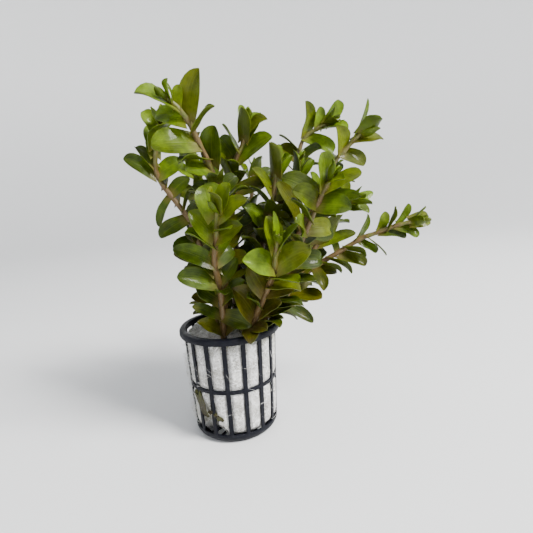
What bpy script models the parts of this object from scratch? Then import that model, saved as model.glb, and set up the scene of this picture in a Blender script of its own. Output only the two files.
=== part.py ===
"""Lemon bacopa in a slotted net pot: a bunch of leafy stems rooted in a plug of rock wool.

The pot stands on Z = 0 with its axis on Z, and the front of the plant faces -Y. The pot's and
the plug's sizes are in metres. The table of stems and leaves is in millimetres and degrees, as
a grower would measure them, and is turned into metres where a mesh is made.
"""

import math
from dataclasses import dataclass, replace

import bmesh
import bpy
from mathutils import Matrix, Vector
from mathutils.bvhtree import BVHTree

MM = 0.001
GAP = 0.0003

# Net pot: a thin moulded basket with upright ribs, one middle ring and a turned-down rim.
RIB_COUNT = 16
RIB_WIDTH = 0.0019
RIB_PHASE = math.radians(-3)
WALL = 0.0009
FOOT_RADIUS = 0.0209
MOUTH_RADIUS = 0.0229
RIM_RADIUS = 0.025
POT_HEIGHT = 0.054
RIM_DEPTH = 0.0024
RING_LOW = 0.0260
RING_HIGH = 0.0279
WINDOW_FOOT = 0.0046
WINDOW_HEAD = 0.051
SLOT_INNER = 0.010
SLOT_OUTER = 0.016
FOOT_FLAT = 0.0178
FOOT_BEND = 0.7
SHARP_EDGE = math.radians(35)

# Rock wool plug: radius and height of each ring, from its underside to its crown.
PLUG_SIDES = 16
PLUG_TOP = 0.0495
PLUG_SHIFT = 0.0003
PLUG_RINGS = [
    (0.0150, 0.0014), (0.0186, 0.0080), (0.0199, 0.0270), (0.0205, 0.0478), (0.0186, PLUG_TOP),
]

# Stems: six-sided in section, thickest at the wool. Each full-grown pair has a clasping collar.
STEM_RADIUS = 0.0017
STEM_TIP_RADIUS = 0.0012
STATION_SPACING = 0.018
WHORL_REACH = 0.0012
SOCKET_CLEARANCE = 0.00040
COLLAR_CLEARANCE = 0.00040
COLLAR_WALL = 0.0005
COLLAR_HEIGHT = 0.0020
BUD_LENGTH = 0.0012

# Leaf blades: the width at each station as part of the full width, and how the blade is bent.
BLADE_STATIONS = [(0.33, 0.95), (0.78, 0.88)]
BLADE_THICKNESS = 0.0008
BLADE_CUP = 0.35
BLADE_CURL = math.radians(28)
BLADE_TWIST = math.radians(75)
LIGHT = Vector((0.0, -0.9, 0.44))

# How far a leaf turns aside, lifts or stays small where it would grow into a neighbour.
ASIDE_STEP = 8
ASIDE_MOST = 48
NECK_START = 0.08
STUNTED = (1.0, 0.85, 0.7, 0.55, 0.4)


@dataclass(frozen=True)
class Leaf:
    """One leaf: turn about the stem (0 front, 90 right), lift from the stem, length, width."""

    turn: float
    lift: float
    length: float
    width: float


@dataclass(frozen=True)
class Whorl:
    """Leaves that leave the stem at one height, measured along the stem from its foot."""

    along: float
    leaves: tuple


@dataclass(frozen=True)
class Shoot:
    """One stem: its route from the wool to its tip, its leaf pairs and its small leaves."""

    name: str
    route: tuple
    pairs: tuple
    small: tuple


def pair(along, first, second):
    """A full-grown leaf pair in its own collar."""
    return Whorl(along, (Leaf(*first), Leaf(*second)))


def small(along, *leaves):
    """Leaves that are one piece with the stem, as the young ones at its tip are."""
    return Whorl(along, tuple(Leaf(*leaf) for leaf in leaves))


SHOOTS = (
    Shoot(
        "front_left",
        ((-3, -9, 36), (-2, -12, 51), (-1, -16, 73), (-2, -21, 88), (0, -26, 99), (2, -31, 109),
         (3, -34, 114)),
        (pair(19, (310, 50, 14, 8), (145, 45, 14, 9)),
         pair(27, (295, 65, 14, 9), (65, 100, 13, 9)),
         pair(35, (260, 65, 12, 12), (75, 40, 14, 8)),
         pair(44, (285, 60, 17, 10), (135, 80, 12, 8))),
        (small(54, (270, 65, 18, 9), (150, 80, 11, 9)),
         small(67, (265, 45, 15, 13), (95, 45, 12, 9)),
         small(77, (220, 50, 14, 13), (95, 45, 14, 8)),
         small(81, (320, 20, 12, 9), (140, 15, 11, 8))),
    ),
    Shoot(
        "front_centre",
        ((7, -11, 36), (9, -14, 51), (14, -18, 62), (18, -22, 72), (23, -26, 80), (24, -30, 88),
         (25, -33, 95), (26, -35, 100)),
        (pair(22, (320, 80, 11, 10), (35, 80, 12, 11)),
         pair(30, (285, 45, 17, 14), (105, 50, 12, 11)),
         pair(43, (285, 50, 15, 13), (105, 40, 14, 8))),
        (small(58, (290, 65, 14, 12), (90, 55, 16, 12)),
         small(66, (55, 25, 15, 8), (235, 25, 14, 9)),
         small(70, (195, 35, 12, 5), (320, 35, 7, 5))),
    ),
    Shoot(
        "left_tall",
        ((-3, -4, 36), (-2, -6, 52), (1, -11, 84), (2, -14, 109), (1, -17, 124), (-1, -20, 131),
         (-4, -24, 140), (-7, -27, 148), (-10, -29, 152), (-14, -31, 156)),
        (pair(70, (20, 55, 11, 9), (200, 70, 12, 10)),
         pair(95, (125, 30, 16, 11), (310, 60, 11, 9)),
         pair(107, (290, 35, 17, 14), (230, 110, 13, 11))),
        (small(36, (290, 70, 11, 8), (110, 70, 10, 8)),
         small(52, (250, 70, 12, 9), (70, 70, 11, 8)),
         small(83, (300, 60, 11, 9), (120, 60, 11, 9)),
         small(116, (105, 35, 19, 11), (230, 60, 15, 10)),
         small(122, (285, 20, 16, 14), (115, 55, 8, 8)),
         small(126, (60, 40, 7, 6))),
    ),
    Shoot(
        "left_outer",
        ((-6, 7, 36), (-7, 9, 50), (-10, 11, 81), (-17, 12, 105), (-22, 12, 115), (-27, 11, 121),
         (-30, 9, 128), (-30, 6, 135), (-28, 4, 141), (-26, 2, 149), (-23, 0, 154)),
        (pair(50, (280, 60, 14, 10), (20, 70, 10, 9)),
         pair(72, (285, 100, 15, 10), (140, 70, 11, 9)),
         pair(87, (285, 115, 15, 8), (110, 100, 11, 9))),
        (small(28, (300, 70, 11, 8), (110, 60, 10, 8)),
         small(61, (20, 60, 11, 9), (200, 60, 11, 9)),
         small(98, (260, 45, 17, 10), (105, 75, 14, 10)),
         small(112, (25, 15, 16, 13), (215, 50, 13, 10)),
         small(119, (265, 45, 11, 9), (120, 30, 11, 9))),
    ),
    Shoot(
        "right_upper",
        ((8.5, -4.5, 36), (10.5, -6, 51), (23, -9, 76), (32, -10, 90), (38, -10, 101), (43, -10, 107),
         (47, -9, 113), (50, -9, 123), (53, -9, 129), (58, -9, 133), (63, -9, 138), (68, -9, 142)),
        (pair(50, (20, 60, 13, 11), (190, 60, 12, 10)),
         pair(73, (290, 60, 22, 8), (110, 80, 15, 11)),
         pair(88, (270, 80, 18, 14), (65, 70, 16, 8)),
         pair(99, (340, 50, 11, 9), (150, 50, 11, 9))),
        (small(36, (110, 60, 11, 9), (290, 60, 11, 9)),
         small(61, (320, 60, 12, 9), (150, 60, 11, 9)),
         small(111, (295, 50, 11, 10), (95, 70, 11, 8)),
         small(118, (270, 15, 18, 8), (75, 40, 13, 9)),
         small(122, (10, 30, 11, 9))),
    ),
    Shoot(
        "right_middle",
        ((11, 1, 36), (13, 2, 49), (21, 3, 56), (27, 4, 62), (38, 6, 77), (42, 7, 83), (47, 9, 90),
         (50, 10, 97), (54, 11, 105), (61, 11, 109), (68, 10, 111)),
        (pair(32, (80, 85, 17, 7), (230, 90, 13, 10)),
         pair(51, (325, 85, 14, 8), (110, 20, 18, 11)),
         pair(67, (10, 35, 20, 11), (95, 35, 20, 12)),
         pair(84, (340, 30, 14, 10), (245, 60, 14, 10))),
        (small(42, (10, 60, 11, 8), (190, 60, 12, 9)),
         small(92, (285, 60, 11, 8), (95, 40, 14, 9)),
         small(96, (185, 25, 14, 9), (30, 35, 12, 9))),
    ),
    Shoot(
        "right_outer",
        ((13, 6, 36), (14, 7, 50), (17, 8, 55), (29, 10, 65), (40, 10, 73), (46, 11, 78),
         (54, 11, 82), (59, 11, 85), (65, 11, 88), (70, 11, 91), (77, 10, 93), (82, 9, 95),
         (90, 7, 97.5), (98, 5, 99)),
        (pair(38, (60, 50, 17, 10), (120, 75, 14, 7)),
         pair(56, (100, 45, 12, 8), (50, 110, 12, 8)),
         pair(71, (265, 75, 10, 5), (85, 55, 14, 8))),
        (small(83, (255, 30, 14, 6), (85, 65, 11, 5)),
         small(95, (75, 30, 13, 10), (235, 35, 10, 8)),
         small(104, (265, 45, 11, 7), (90, 45, 11, 8)),
         small(110, (170, 25, 12, 9), (350, 35, 8, 6))),
    ),
    Shoot(
        "middle_tall",
        ((1, 2, 36), (2, 2, 50), (6, 4, 84), (6, 4, 96), (5, 4, 107), (7, 3, 118), (9, 1, 133),
         (13, 0, 139), (15, -1, 147), (16, -2, 151)),
        (pair(52, (325, 100, 15, 8), (120, 75, 13, 10)),
         pair(68, (250, 80, 12, 10), (75, 80, 12, 10)),
         pair(83, (310, 20, 19, 13), (105, 70, 15, 10)),
         pair(98, (90, 40, 19, 12), (240, 55, 13, 10))),
        (small(36, (20, 60, 11, 8), (200, 60, 11, 8)),
         small(108, (330, 25, 15, 12), (125, 25, 15, 9)),
         small(112, (235, 30, 13, 8), (40, 25, 11, 8))),
    ),
    Shoot(
        "right_front",
        ((14, -9.5, 36), (15, -10, 50), (17, -11.5, 57), (27, -17, 76), (36, -23, 96),
         (44, -27, 113), (47, -29, 119), (50, -30, 123)),
        (pair(42, (120, 60, 14, 10), (300, 60, 11, 9)),
         pair(56, (290, 60, 12, 10), (110, 70, 12, 9)),
         pair(72, (330, 70, 12, 9), (120, 80, 12, 10))),
        (small(84, (70, 70, 13, 11), (290, 80, 12, 9)),
         small(91, (275, 30, 14, 11), (85, 30, 15, 11)),
         small(95, (30, 55, 8, 5))),
    ),
    Shoot(
        "back_right",
        ((7, 8, 36), (8, 10, 50), (13, 15, 82), (17, 17, 95), (21, 18, 103), (27, 20, 109),
         (34, 22, 114), (39, 25, 127), (43, 27, 141), (47, 27, 146), (52, 26, 148), (60, 24, 152)),
        (pair(61, (310, 90, 12, 10), (135, 45, 13, 10)),
         pair(86, (285, 90, 13, 10), (135, 70, 13, 10)),
         pair(109, (55, 45, 13, 11), (245, 60, 12, 9))),
        (small(36, (110, 60, 11, 9), (290, 60, 11, 9)),
         small(73, (30, 60, 12, 9), (210, 60, 12, 9)),
         small(97, (10, 60, 12, 9), (190, 60, 12, 9)),
         small(121, (275, 40, 17, 10), (80, 75, 16, 9)),
         small(129, (80, 25, 15, 11), (255, 50, 10, 7)),
         small(133, (200, 25, 14, 9), (20, 35, 9, 6))),
    ),
    Shoot(
        "middle_right",
        ((8, 3, 36), (9, 4, 51), (21, 8, 82), (31, 10, 100), (36, 10, 115), (39, 9, 125),
         (40, 8, 132)),
        (pair(50, (120, 60, 14, 11), (300, 70, 12, 9)),
         pair(66, (20, 60, 13, 10), (215, 70, 13, 10))),
        (small(84, (290, 80, 12, 9), (125, 50, 14, 10)),
         small(93, (315, 25, 15, 11), (145, 30, 13, 9)),
         small(97, (45, 30, 9, 6))),
    ),
    Shoot(
        "middle_short",
        ((5, -2, 36), (6, -3, 50), (17, -3, 85), (22, -3, 102), (26, -3, 116), (28, -2, 126),
         (29, -2, 133)),
        (pair(69, (300, 60, 13, 10), (120, 60, 12, 9)),),
        (small(52, (20, 60, 12, 9), (200, 60, 11, 9)),
         small(83, (280, 40, 15, 7), (110, 60, 13, 10)),
         small(92, (330, 20, 15, 11), (115, 30, 12, 8)),
         small(96, (225, 25, 12, 8), (60, 35, 8, 6))),
    ),
    Shoot(
        "back_left",
        ((-3, 13, 36), (-4, 15, 50), (-8, 20, 82), (-11, 23, 100), (-12, 24, 115), (-14, 25, 127),
         (-15, 25, 134)),
        (pair(40, (260, 60, 15, 11), (90, 60, 12, 9)),
         pair(58, (290, 90, 17, 10), (150, 60, 14, 11))),
        (small(71, (200, 60, 13, 10), (20, 60, 12, 9)),
         small(82, (275, 65, 16, 10), (115, 60, 14, 10)),
         small(93, (290, 50, 12, 9), (110, 40, 13, 9)),
         small(97, (190, 25, 13, 9), (10, 30, 10, 8))),
    ),
    Shoot(
        "back_middle",
        ((3, 14, 36), (3, 16, 50), (9, 28, 80), (13, 35, 99), (15, 41, 119), (17, 44, 133)),
        (pair(42, (190, 60, 15, 11), (60, 60, 12, 10)),
         pair(60, (110, 55, 16, 12), (290, 60, 14, 11))),
        (small(78, (200, 55, 15, 11), (20, 60, 12, 9)),
         small(92, (120, 45, 15, 12), (300, 40, 12, 10)),
         small(97, (30, 30, 12, 9))),
    ),
    Shoot(
        "back_outer",
        ((11, 11, 36), (11, 12, 50), (12, 13, 56), (20, 18, 67), (31, 25, 78), (43, 32, 94),
         (52, 38, 110), (58, 42, 122), (63, 44, 130)),
        (pair(60, (110, 55, 16, 11), (260, 55, 14, 10)),),
        (small(40, (180, 60, 13, 10), (350, 60, 11, 8)),
         small(82, (190, 50, 16, 11), (20, 60, 13, 10)),
         small(97, (110, 45, 14, 11), (280, 40, 13, 10)),
         small(102, (10, 30, 11, 8))),
    ),
)


class Route:
    """A smooth path through a stem's hand-chosen points, measured along its length."""

    SAMPLES = 16

    def __init__(self, points):
        knots = [Vector(point) * MM for point in points]
        knots = [2 * knots[0] - knots[1], *knots, 2 * knots[-1] - knots[-2]]
        self.samples = []
        for start in range(len(knots) - 3):
            for step in range(self.SAMPLES):
                self.samples.append(spline_point(knots[start:start + 4], step / self.SAMPLES))
        self.samples.append(knots[-2])
        self.lengths = [0.0]
        for here, there in zip(self.samples, self.samples[1:]):
            self.lengths.append(self.lengths[-1] + (there - here).length)

    @property
    def length(self):
        """The whole length of the stem."""
        return self.lengths[-1]

    def point(self, along):
        """The place at this distance from the foot."""
        along = min(max(along, 0.0), self.length)
        last = len(self.samples) - 2
        index = next((i for i in range(last) if self.lengths[i + 1] >= along), last)
        step = self.lengths[index + 1] - self.lengths[index]
        part = (along - self.lengths[index]) / step
        return self.samples[index].lerp(self.samples[index + 1], part)

    def direction(self, along):
        """The way the stem grows at this distance from the foot."""
        reach = WHORL_REACH
        return (self.point(along + reach) - self.point(along - reach)).normalized()

    def radius(self, along):
        """The stem's radius, thinning evenly from the foot to the tip."""
        return STEM_RADIUS + (STEM_TIP_RADIUS - STEM_RADIUS) * along / self.length


def spline_point(knots, part):
    """A point between the middle two of four knots on a smooth spline."""
    before, start, end, after = knots
    return 0.5 * (
        2 * start + (end - before) * part
        + (2 * before - 5 * start + 4 * end - after) * part ** 2
        + (3 * start - before - 3 * end + after) * part ** 3
    )


def around(axis, turn):
    """The way out from a stem at this turn in degrees: 0 faces the front, 90 the right."""
    front = Vector((0, -1, 0))
    front = (front - axis * front.dot(axis)).normalized()
    angle = math.radians(turn)
    return front * math.cos(angle) + axis.cross(front) * math.sin(angle)


def facing(heading, upper, bend):
    """The way a blade's upper face looks: the more a blade spreads, the more it seeks the light."""
    across = heading.cross(upper)
    lit = math.atan2(LIGHT.dot(across), LIGHT.dot(upper))
    twist = BLADE_TWIST * math.sin(lit) * math.sin(bend)
    return upper * math.cos(twist) + across * math.sin(twist)


def blade(base, axis, leaf, margin=0.0):
    """The cross-sections of a leaf, from its neck outwards, and its tip.

    Each section is four points: one edge, the upper midrib, the other edge, the lower midrib.
    The blade bends away from the stem by BLADE_CURL, and its edges stand up more and more
    towards its tip, by BLADE_CUP.
    """
    outward = around(axis, leaf.turn)
    length = leaf.length * MM + margin
    sections, place, reached = [], base.copy(), 0.0
    for part, share in [*BLADE_STATIONS, (1.0, 0.0)]:
        bend = math.radians(leaf.lift) + BLADE_CURL * ((reached + part) / 2 - 0.5)
        heading = axis * math.cos(bend) + outward * math.sin(bend)
        upper = axis * math.sin(bend) - outward * math.cos(bend)
        place = place + heading * (part - reached) * length
        reached = part
        face = facing(heading, upper, bend)
        half = face.cross(heading) * (share * leaf.width * MM / 2 + margin)
        rise = face * BLADE_CUP * part * half.length
        thick = face * (BLADE_THICKNESS / 2 + margin)
        sections.append([place + half + rise, place + thick, place - half + rise, place - thick])
    return sections[:-1], place


def wound(sections, corners):
    """The sections, each with its points in the order that meets a face's corners best."""
    first = sections[0]
    shift = min(range(4), key=lambda turn: sum(
        (corner - first[(index + turn) % 4]).length for index, corner in enumerate(corners)))
    return [section[shift:] + section[:shift] for section in sections]


def halves(points, quad):
    """A four-sided face as two triangles, split along its shorter diagonal."""
    first, second, third, fourth = quad
    if (points[first] - points[third]).length <= (points[second] - points[fourth]).length:
        return [(first, second, third), (first, third, fourth)]
    return [(first, second, fourth), (second, third, fourth)]


def blade_surface(corners, sections, tip):
    """The points and triangles of a blade and its neck, for testing what it would touch."""
    neck = [corner.lerp(point, NECK_START) for corner, point in zip(corners, sections[0])]
    rings = [neck, *sections]
    points = [point for ring in rings for point in ring] + [tip]
    faces = halves(points, (3, 2, 1, 0))
    for ring in range(len(sections)):
        for corner in range(4):
            here, there = 4 * ring + corner, 4 * ring + (corner + 1) % 4
            faces += halves(points, (here, there, there + 4, here + 4))
    last = 4 * len(sections)
    faces += [(last + corner, last + (corner + 1) % 4, last + 4) for corner in range(4)]
    return points, faces


def crosses_itself(points, faces):
    """Whether two triangles of a surface that share no corner meet."""
    tree = BVHTree.FromPolygons(points, faces)
    return any(not set(faces[here]) & set(faces[there]) for here, there in tree.overlap(tree))


class Neighbours:
    """All that is already in place, for finding what a new leaf would touch."""

    def __init__(self):
        self.trees = []

    def add(self, points, faces):
        """Keep a surface in mind."""
        self.trees.append(BVHTree.FromPolygons(points, faces))

    def add_mesh(self, mesh):
        """Keep a mesh in mind."""
        self.add([vertex.co for vertex in mesh.vertices],
                 [tuple(face.vertices) for face in mesh.polygons])

    def touched_by(self, points, faces):
        """Whether a surface cuts any that is kept in mind."""
        trial = BVHTree.FromPolygons(points, faces)
        return any(tree.overlap(trial) for tree in self.trees)


def ways_aside():
    """The ways a crowded leaf may turn and lift, the smallest first."""
    steps = range(-ASIDE_MOST, ASIDE_MOST + 1, ASIDE_STEP)
    return sorted(((turn, lift) for turn in steps for lift in steps),
                  key=lambda aside: (abs(aside[0]) + abs(aside[1]), aside))


def blade_from(face, axis, leaf, margin=0.0):
    """The corners of a face and the sections and tip of the blade that grows from it."""
    corners = [corner.co.copy() for corner in face.verts]
    sections, tip = blade(face.calc_center_median(), axis, leaf, margin)
    return corners, wound(sections, corners), tip


def settle(sides, middle, axis, leaf, neighbours):
    """The face that a leaf grows from, and the leaf: turned aside, lifted or stunted if crowded.

    A leaf that has no room at all doesn't grow.
    """
    for size in STUNTED:
        for turn, lift in ways_aside():
            trial = replace(leaf, turn=leaf.turn + turn, lift=leaf.lift + lift,
                            length=leaf.length * size, width=leaf.width * size)
            outward = around(axis, trial.turn)
            face = max(sides, key=lambda side: (side.calc_center_median() - middle).dot(outward))
            surface = blade_surface(*blade_from(face, axis, trial))
            swollen = blade_surface(*blade_from(face, axis, trial, GAP))
            if not neighbours.touched_by(*swollen) and not crosses_itself(*surface):
                neighbours.add(*surface)
                return face, trial
    return None


def grow_blade(mesh, face, sections, tip):
    """Draw a leaf blade out of one four-sided face, section by section, to a point."""
    for section in [*sections, [tip] * 4]:
        face = bmesh.ops.extrude_discrete_faces(mesh, faces=[face])["faces"][0]
        for corner, point in zip(face.verts, section):
            corner.co = point
    bmesh.ops.pointmerge(mesh, verts=list(face.verts), merge_co=tip)


def grow_whorl(mesh, sides, middle, axis, whorl, neighbours):
    """Grow each leaf of a whorl out of the side face that looks its way."""
    for leaf in whorl.leaves:
        settled = settle(sides, middle, axis, leaf, neighbours)
        if settled:
            face, grown = settled
            sides.remove(face)
            grow_blade(mesh, face, *blade_from(face, axis, grown)[1:])


def finish_grown(mesh, name):
    """Halve a stem's or a leaf pair's four-sided faces as blade_surface does, and finish it."""
    quads = [face for face in mesh.faces if len(face.verts) == 4]
    bmesh.ops.triangulate(mesh, faces=quads, quad_method="SHORT_EDGE")
    return finish_mesh(mesh, name)


def finish_mesh(mesh, name):
    """Turn a bmesh into mesh data with its faces pointing out."""
    bmesh.ops.recalc_face_normals(mesh, faces=mesh.faces)
    if mesh.calc_volume(signed=True) < 0:
        bmesh.ops.reverse_faces(mesh, faces=mesh.faces)
    data = bpy.data.meshes.new(name)
    mesh.to_mesh(data)
    mesh.free()
    return data


def add_object(name, data, collection, material, place=None):
    """Link one named object with its material, standing where it belongs."""
    piece = bpy.data.objects.new(name, data)
    data.materials.append(material)
    collection.objects.link(piece)
    piece.matrix_world = place or Matrix()
    return piece


def make_material(name, colour, roughness):
    """A Principled material with a colour and a roughness."""
    material = bpy.data.materials.new(name)
    material.use_nodes = True
    shader = material.node_tree.nodes["Principled BSDF"]
    shader.inputs["Base Color"].default_value = (*colour, 1)
    shader.inputs["Roughness"].default_value = roughness
    shader.inputs["Metallic"].default_value = 0.0
    return material


def turned(profile, steps):
    """A surface turned about Z from (radius, height) points at the front."""
    mesh = bmesh.new()
    line = [mesh.verts.new((0, -radius, height)) for radius, height in profile]
    edges = [mesh.edges.new(ends) for ends in zip(line, line[1:])]
    bmesh.ops.spin(mesh, geom=line + edges, cent=(0, 0, 0), axis=(0, 0, 1), angle=math.tau,
                   steps=steps, use_merge=True)
    bmesh.ops.remove_doubles(mesh, verts=mesh.verts, dist=GAP / 10)
    return mesh


def body_radius(height):
    """The pot wall's outer radius at this height."""
    return FOOT_RADIUS + (MOUTH_RADIUS - FOOT_RADIUS) * height / WINDOW_HEAD


def pot_profile():
    """The pot's outer line from the foot's centre up the wall and out under the rim."""
    shoulder = POT_HEIGHT - WALL
    skirt = RIM_RADIUS - WALL
    return [
        (0, 0), (SLOT_INNER, 0), (SLOT_OUTER, 0), (FOOT_FLAT, 0),
        (FOOT_FLAT + FOOT_BEND * (FOOT_RADIUS - FOOT_FLAT), WINDOW_FOOT / 4),
        (body_radius(WINDOW_FOOT), WINDOW_FOOT),
        (body_radius(RING_LOW), RING_LOW), (body_radius(RING_HIGH), RING_HIGH),
        (body_radius(WINDOW_HEAD), WINDOW_HEAD), (body_radius(WINDOW_HEAD), shoulder),
        (skirt, shoulder), (skirt, POT_HEIGHT - RIM_DEPTH),
    ]


def rib_edge(column, radius):
    """The angle of a rib's edge: even columns are left edges and odd ones are right edges."""
    middle = RIB_PHASE + column // 2 * math.tau / RIB_COUNT
    half_rib = math.asin(RIB_WIDTH / 2 / radius)
    return middle + half_rib if column % 2 else middle - half_rib


def is_opening(face):
    """Whether a face lies in a window of the wall or a slot of the foot."""
    middle = face.calc_center_median()
    radius = middle.xy.length
    angle = (math.atan2(middle.x, -middle.y) - RIB_PHASE) % (math.tau / RIB_COUNT)
    between_ribs = RIB_WIDTH < angle * radius < math.tau / RIB_COUNT * radius - RIB_WIDTH
    in_slot = SLOT_INNER < radius < SLOT_OUTER and middle.z < WINDOW_FOOT / 8
    in_window = WINDOW_FOOT < middle.z < RING_LOW or RING_HIGH < middle.z < WINDOW_HEAD
    return between_ribs and (in_slot or in_window and radius < MOUTH_RADIUS)


def build_pot(collection, material):
    """The net pot: a turned shell with its windows opened, given one even wall."""
    columns = 2 * RIB_COUNT
    mesh = turned(pot_profile(), columns)
    for vertex in mesh.verts:
        radius = vertex.co.xy.length
        if radius > GAP:
            column = round(math.atan2(vertex.co.x, -vertex.co.y) / math.tau * columns) % columns
            angle = rib_edge(column, radius)
            vertex.co.xy = radius * math.sin(angle), -radius * math.cos(angle)
    openings = [face for face in mesh.faces if is_opening(face)]
    bmesh.ops.delete(mesh, geom=openings, context="FACES")
    pot = add_object("net_pot", finish_mesh(mesh, "net_pot"), collection, material)
    if pot.data.polygons[0].normal.z > 0:
        pot.data.flip_normals()
    wall = pot.modifiers.new("wall", "SOLIDIFY")
    wall.thickness = WALL
    wall.offset = -1
    wall.use_even_offset = True
    pot.data.shade_smooth()
    pot.data.set_sharp_from_angle(angle=SHARP_EDGE)
    return pot


def stem_stations(shoot, route):
    """Where along a stem its rings lie: at each pair, and on both sides of each small whorl."""
    marks = {0.0, route.length}
    marks.update(whorl.along * MM for whorl in shoot.pairs)
    for whorl in shoot.small:
        marks.update((whorl.along * MM - WHORL_REACH, whorl.along * MM + WHORL_REACH))
    marks = sorted(marks)
    stations = []
    for here, there in zip(marks, marks[1:]):
        count = max(1, round((there - here) / STATION_SPACING))
        stations += [here + (there - here) * step / count for step in range(count)]
    return stations + [route.length]


def tube(points, radii, collection):
    """A six-sided tube through points, welded into one closed mesh."""
    curve = bpy.data.curves.new("tube", "CURVE")
    curve.dimensions = "3D"
    curve.bevel_depth = 1.0
    curve.bevel_resolution = 1
    curve.use_fill_caps = True
    spline = curve.splines.new("POLY")
    spline.points.add(len(points) - 1)
    for knot, point, radius in zip(spline.points, points, radii):
        knot.co = (*point, 1)
        knot.radius = radius
    guide = bpy.data.objects.new("tube", curve)
    collection.objects.link(guide)
    evaluated = guide.evaluated_get(bpy.context.evaluated_depsgraph_get())
    data = bpy.data.meshes.new_from_object(evaluated)
    bpy.data.objects.remove(guide)
    bpy.data.curves.remove(curve)
    mesh = bmesh.new()
    mesh.from_mesh(data)
    bpy.data.meshes.remove(data)
    bmesh.ops.remove_doubles(mesh, verts=mesh.verts, dist=GAP / 10)
    bmesh.ops.dissolve_faces(mesh, faces=[face for face in mesh.faces if len(face.verts) == 3])
    bmesh.ops.recalc_face_normals(mesh, faces=mesh.faces)
    return mesh


def bare_stem(shoot, route, collection):
    """A stem with no leaves on it."""
    stations = stem_stations(shoot, route)
    points = [route.point(along) for along in stations]
    return tube(points, [route.radius(along) for along in stations], collection)


def socket_for(shoot, route, collection):
    """The hole that a stem's foot makes in the wool, with clearance all round it."""
    points, radii = [], []
    for along in stem_stations(shoot, route):
        points.append(route.point(along))
        radii.append(route.radius(along) + SOCKET_CLEARANCE)
        if points[-1].z > PLUG_TOP + COLLAR_HEIGHT:
            break
    points[0] -= route.direction(0) * GAP
    return tube(points, radii, collection)


def build_plug(collection, cutters, material, routes):
    """The rock wool plug, with a socket for every stem."""
    profile = [(0, PLUG_RINGS[0][1]), *PLUG_RINGS, (0, PLUG_TOP)]
    plug = add_object("rock_wool_plug", finish_mesh(turned(profile, PLUG_SIDES), "plug"),
                      collection, material, Matrix.Translation((PLUG_SHIFT, 0, 0)))
    for shoot in SHOOTS:
        socket = finish_mesh(socket_for(shoot, routes[shoot.name], cutters), "socket")
        cutter = add_object(f"socket_{shoot.name}", socket, cutters, material)
        cutter.hide_render = True
        cutter.display_type = "WIRE"
        cut = plug.modifiers.new(cutter.name, "BOOLEAN")
        cut.operation = "DIFFERENCE"
        cut.object = cutter
    plug.data.shade_smooth()
    return plug


def grow_stem(shoot, route, neighbours, collection):
    """A stem's mesh, with its small leaves drawn out of its sides and its bud pointed."""
    mesh = bare_stem(shoot, route, collection)
    end = route.point(route.length)
    caps = [face for face in mesh.faces if len(face.verts) > 4]
    top = min(caps, key=lambda cap: (cap.calc_center_median() - end).length)
    for whorl in shoot.small:
        along = whorl.along * MM
        middle, axis = route.point(along), route.direction(along)
        sides = [face for face in mesh.faces
                 if (face.calc_center_median() - middle).length < route.radius(along)]
        grow_whorl(mesh, sides, middle, axis, whorl, neighbours)
    bmesh.ops.poke(mesh, faces=[top], offset=BUD_LENGTH)
    return finish_grown(mesh, f"stem_{shoot.name}")


def collar_mesh(radius):
    """A six-sided ring that clasps a stem of this radius, open through its middle."""
    inner = (radius + COLLAR_CLEARANCE) / math.cos(math.pi / 6)
    mesh = bmesh.new()
    bmesh.ops.create_cone(mesh, segments=6, radius1=inner, radius2=inner, depth=COLLAR_HEIGHT)
    bmesh.ops.solidify(mesh, geom=mesh.faces[:], thickness=-COLLAR_WALL)
    bmesh.ops.recalc_face_normals(mesh, faces=mesh.faces)
    return mesh


def collar_place(route, whorl):
    """Where a leaf pair's collar stands: Z up the stem and X towards the first leaf."""
    along = whorl.along * MM
    axis = route.direction(along)
    outward = around(axis, whorl.leaves[0].turn)
    frame = Matrix((outward, axis.cross(outward), axis)).transposed().to_4x4()
    return Matrix.Translation(route.point(along)) @ frame


def grow_pair(name, route, whorl, neighbours):
    """A leaf pair's mesh in its collar's own frame, and where the collar stands."""
    place = collar_place(route, whorl)
    mesh = collar_mesh(route.radius(whorl.along * MM))
    mesh.transform(place)
    grow_whorl(mesh, mesh.faces[:], place.translation, place.col[2].xyz, whorl, neighbours)
    mesh.transform(place.inverted())
    return finish_grown(mesh, name), place


def note_neighbours(pot, plug, routes, cutters):
    """Everything that stands before a leaf grows: pot, wool, bare stems and empty collars."""
    neighbours = Neighbours()
    bpy.context.view_layer.update()
    depsgraph = bpy.context.evaluated_depsgraph_get()
    for solid in (pot, plug):
        standing = bpy.data.meshes.new_from_object(solid.evaluated_get(depsgraph))
        standing.transform(solid.matrix_world)
        neighbours.add_mesh(standing)
        bpy.data.meshes.remove(standing)
    for shoot in SHOOTS:
        route = routes[shoot.name]
        bare = [bare_stem(shoot, route, cutters)]
        for whorl in shoot.pairs:
            bare.append(collar_mesh(route.radius(whorl.along * MM)))
            bare[-1].transform(collar_place(route, whorl))
        for mesh in bare:
            data = finish_mesh(mesh, "bare")
            neighbours.add_mesh(data)
            bpy.data.meshes.remove(data)
    return neighbours


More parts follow.
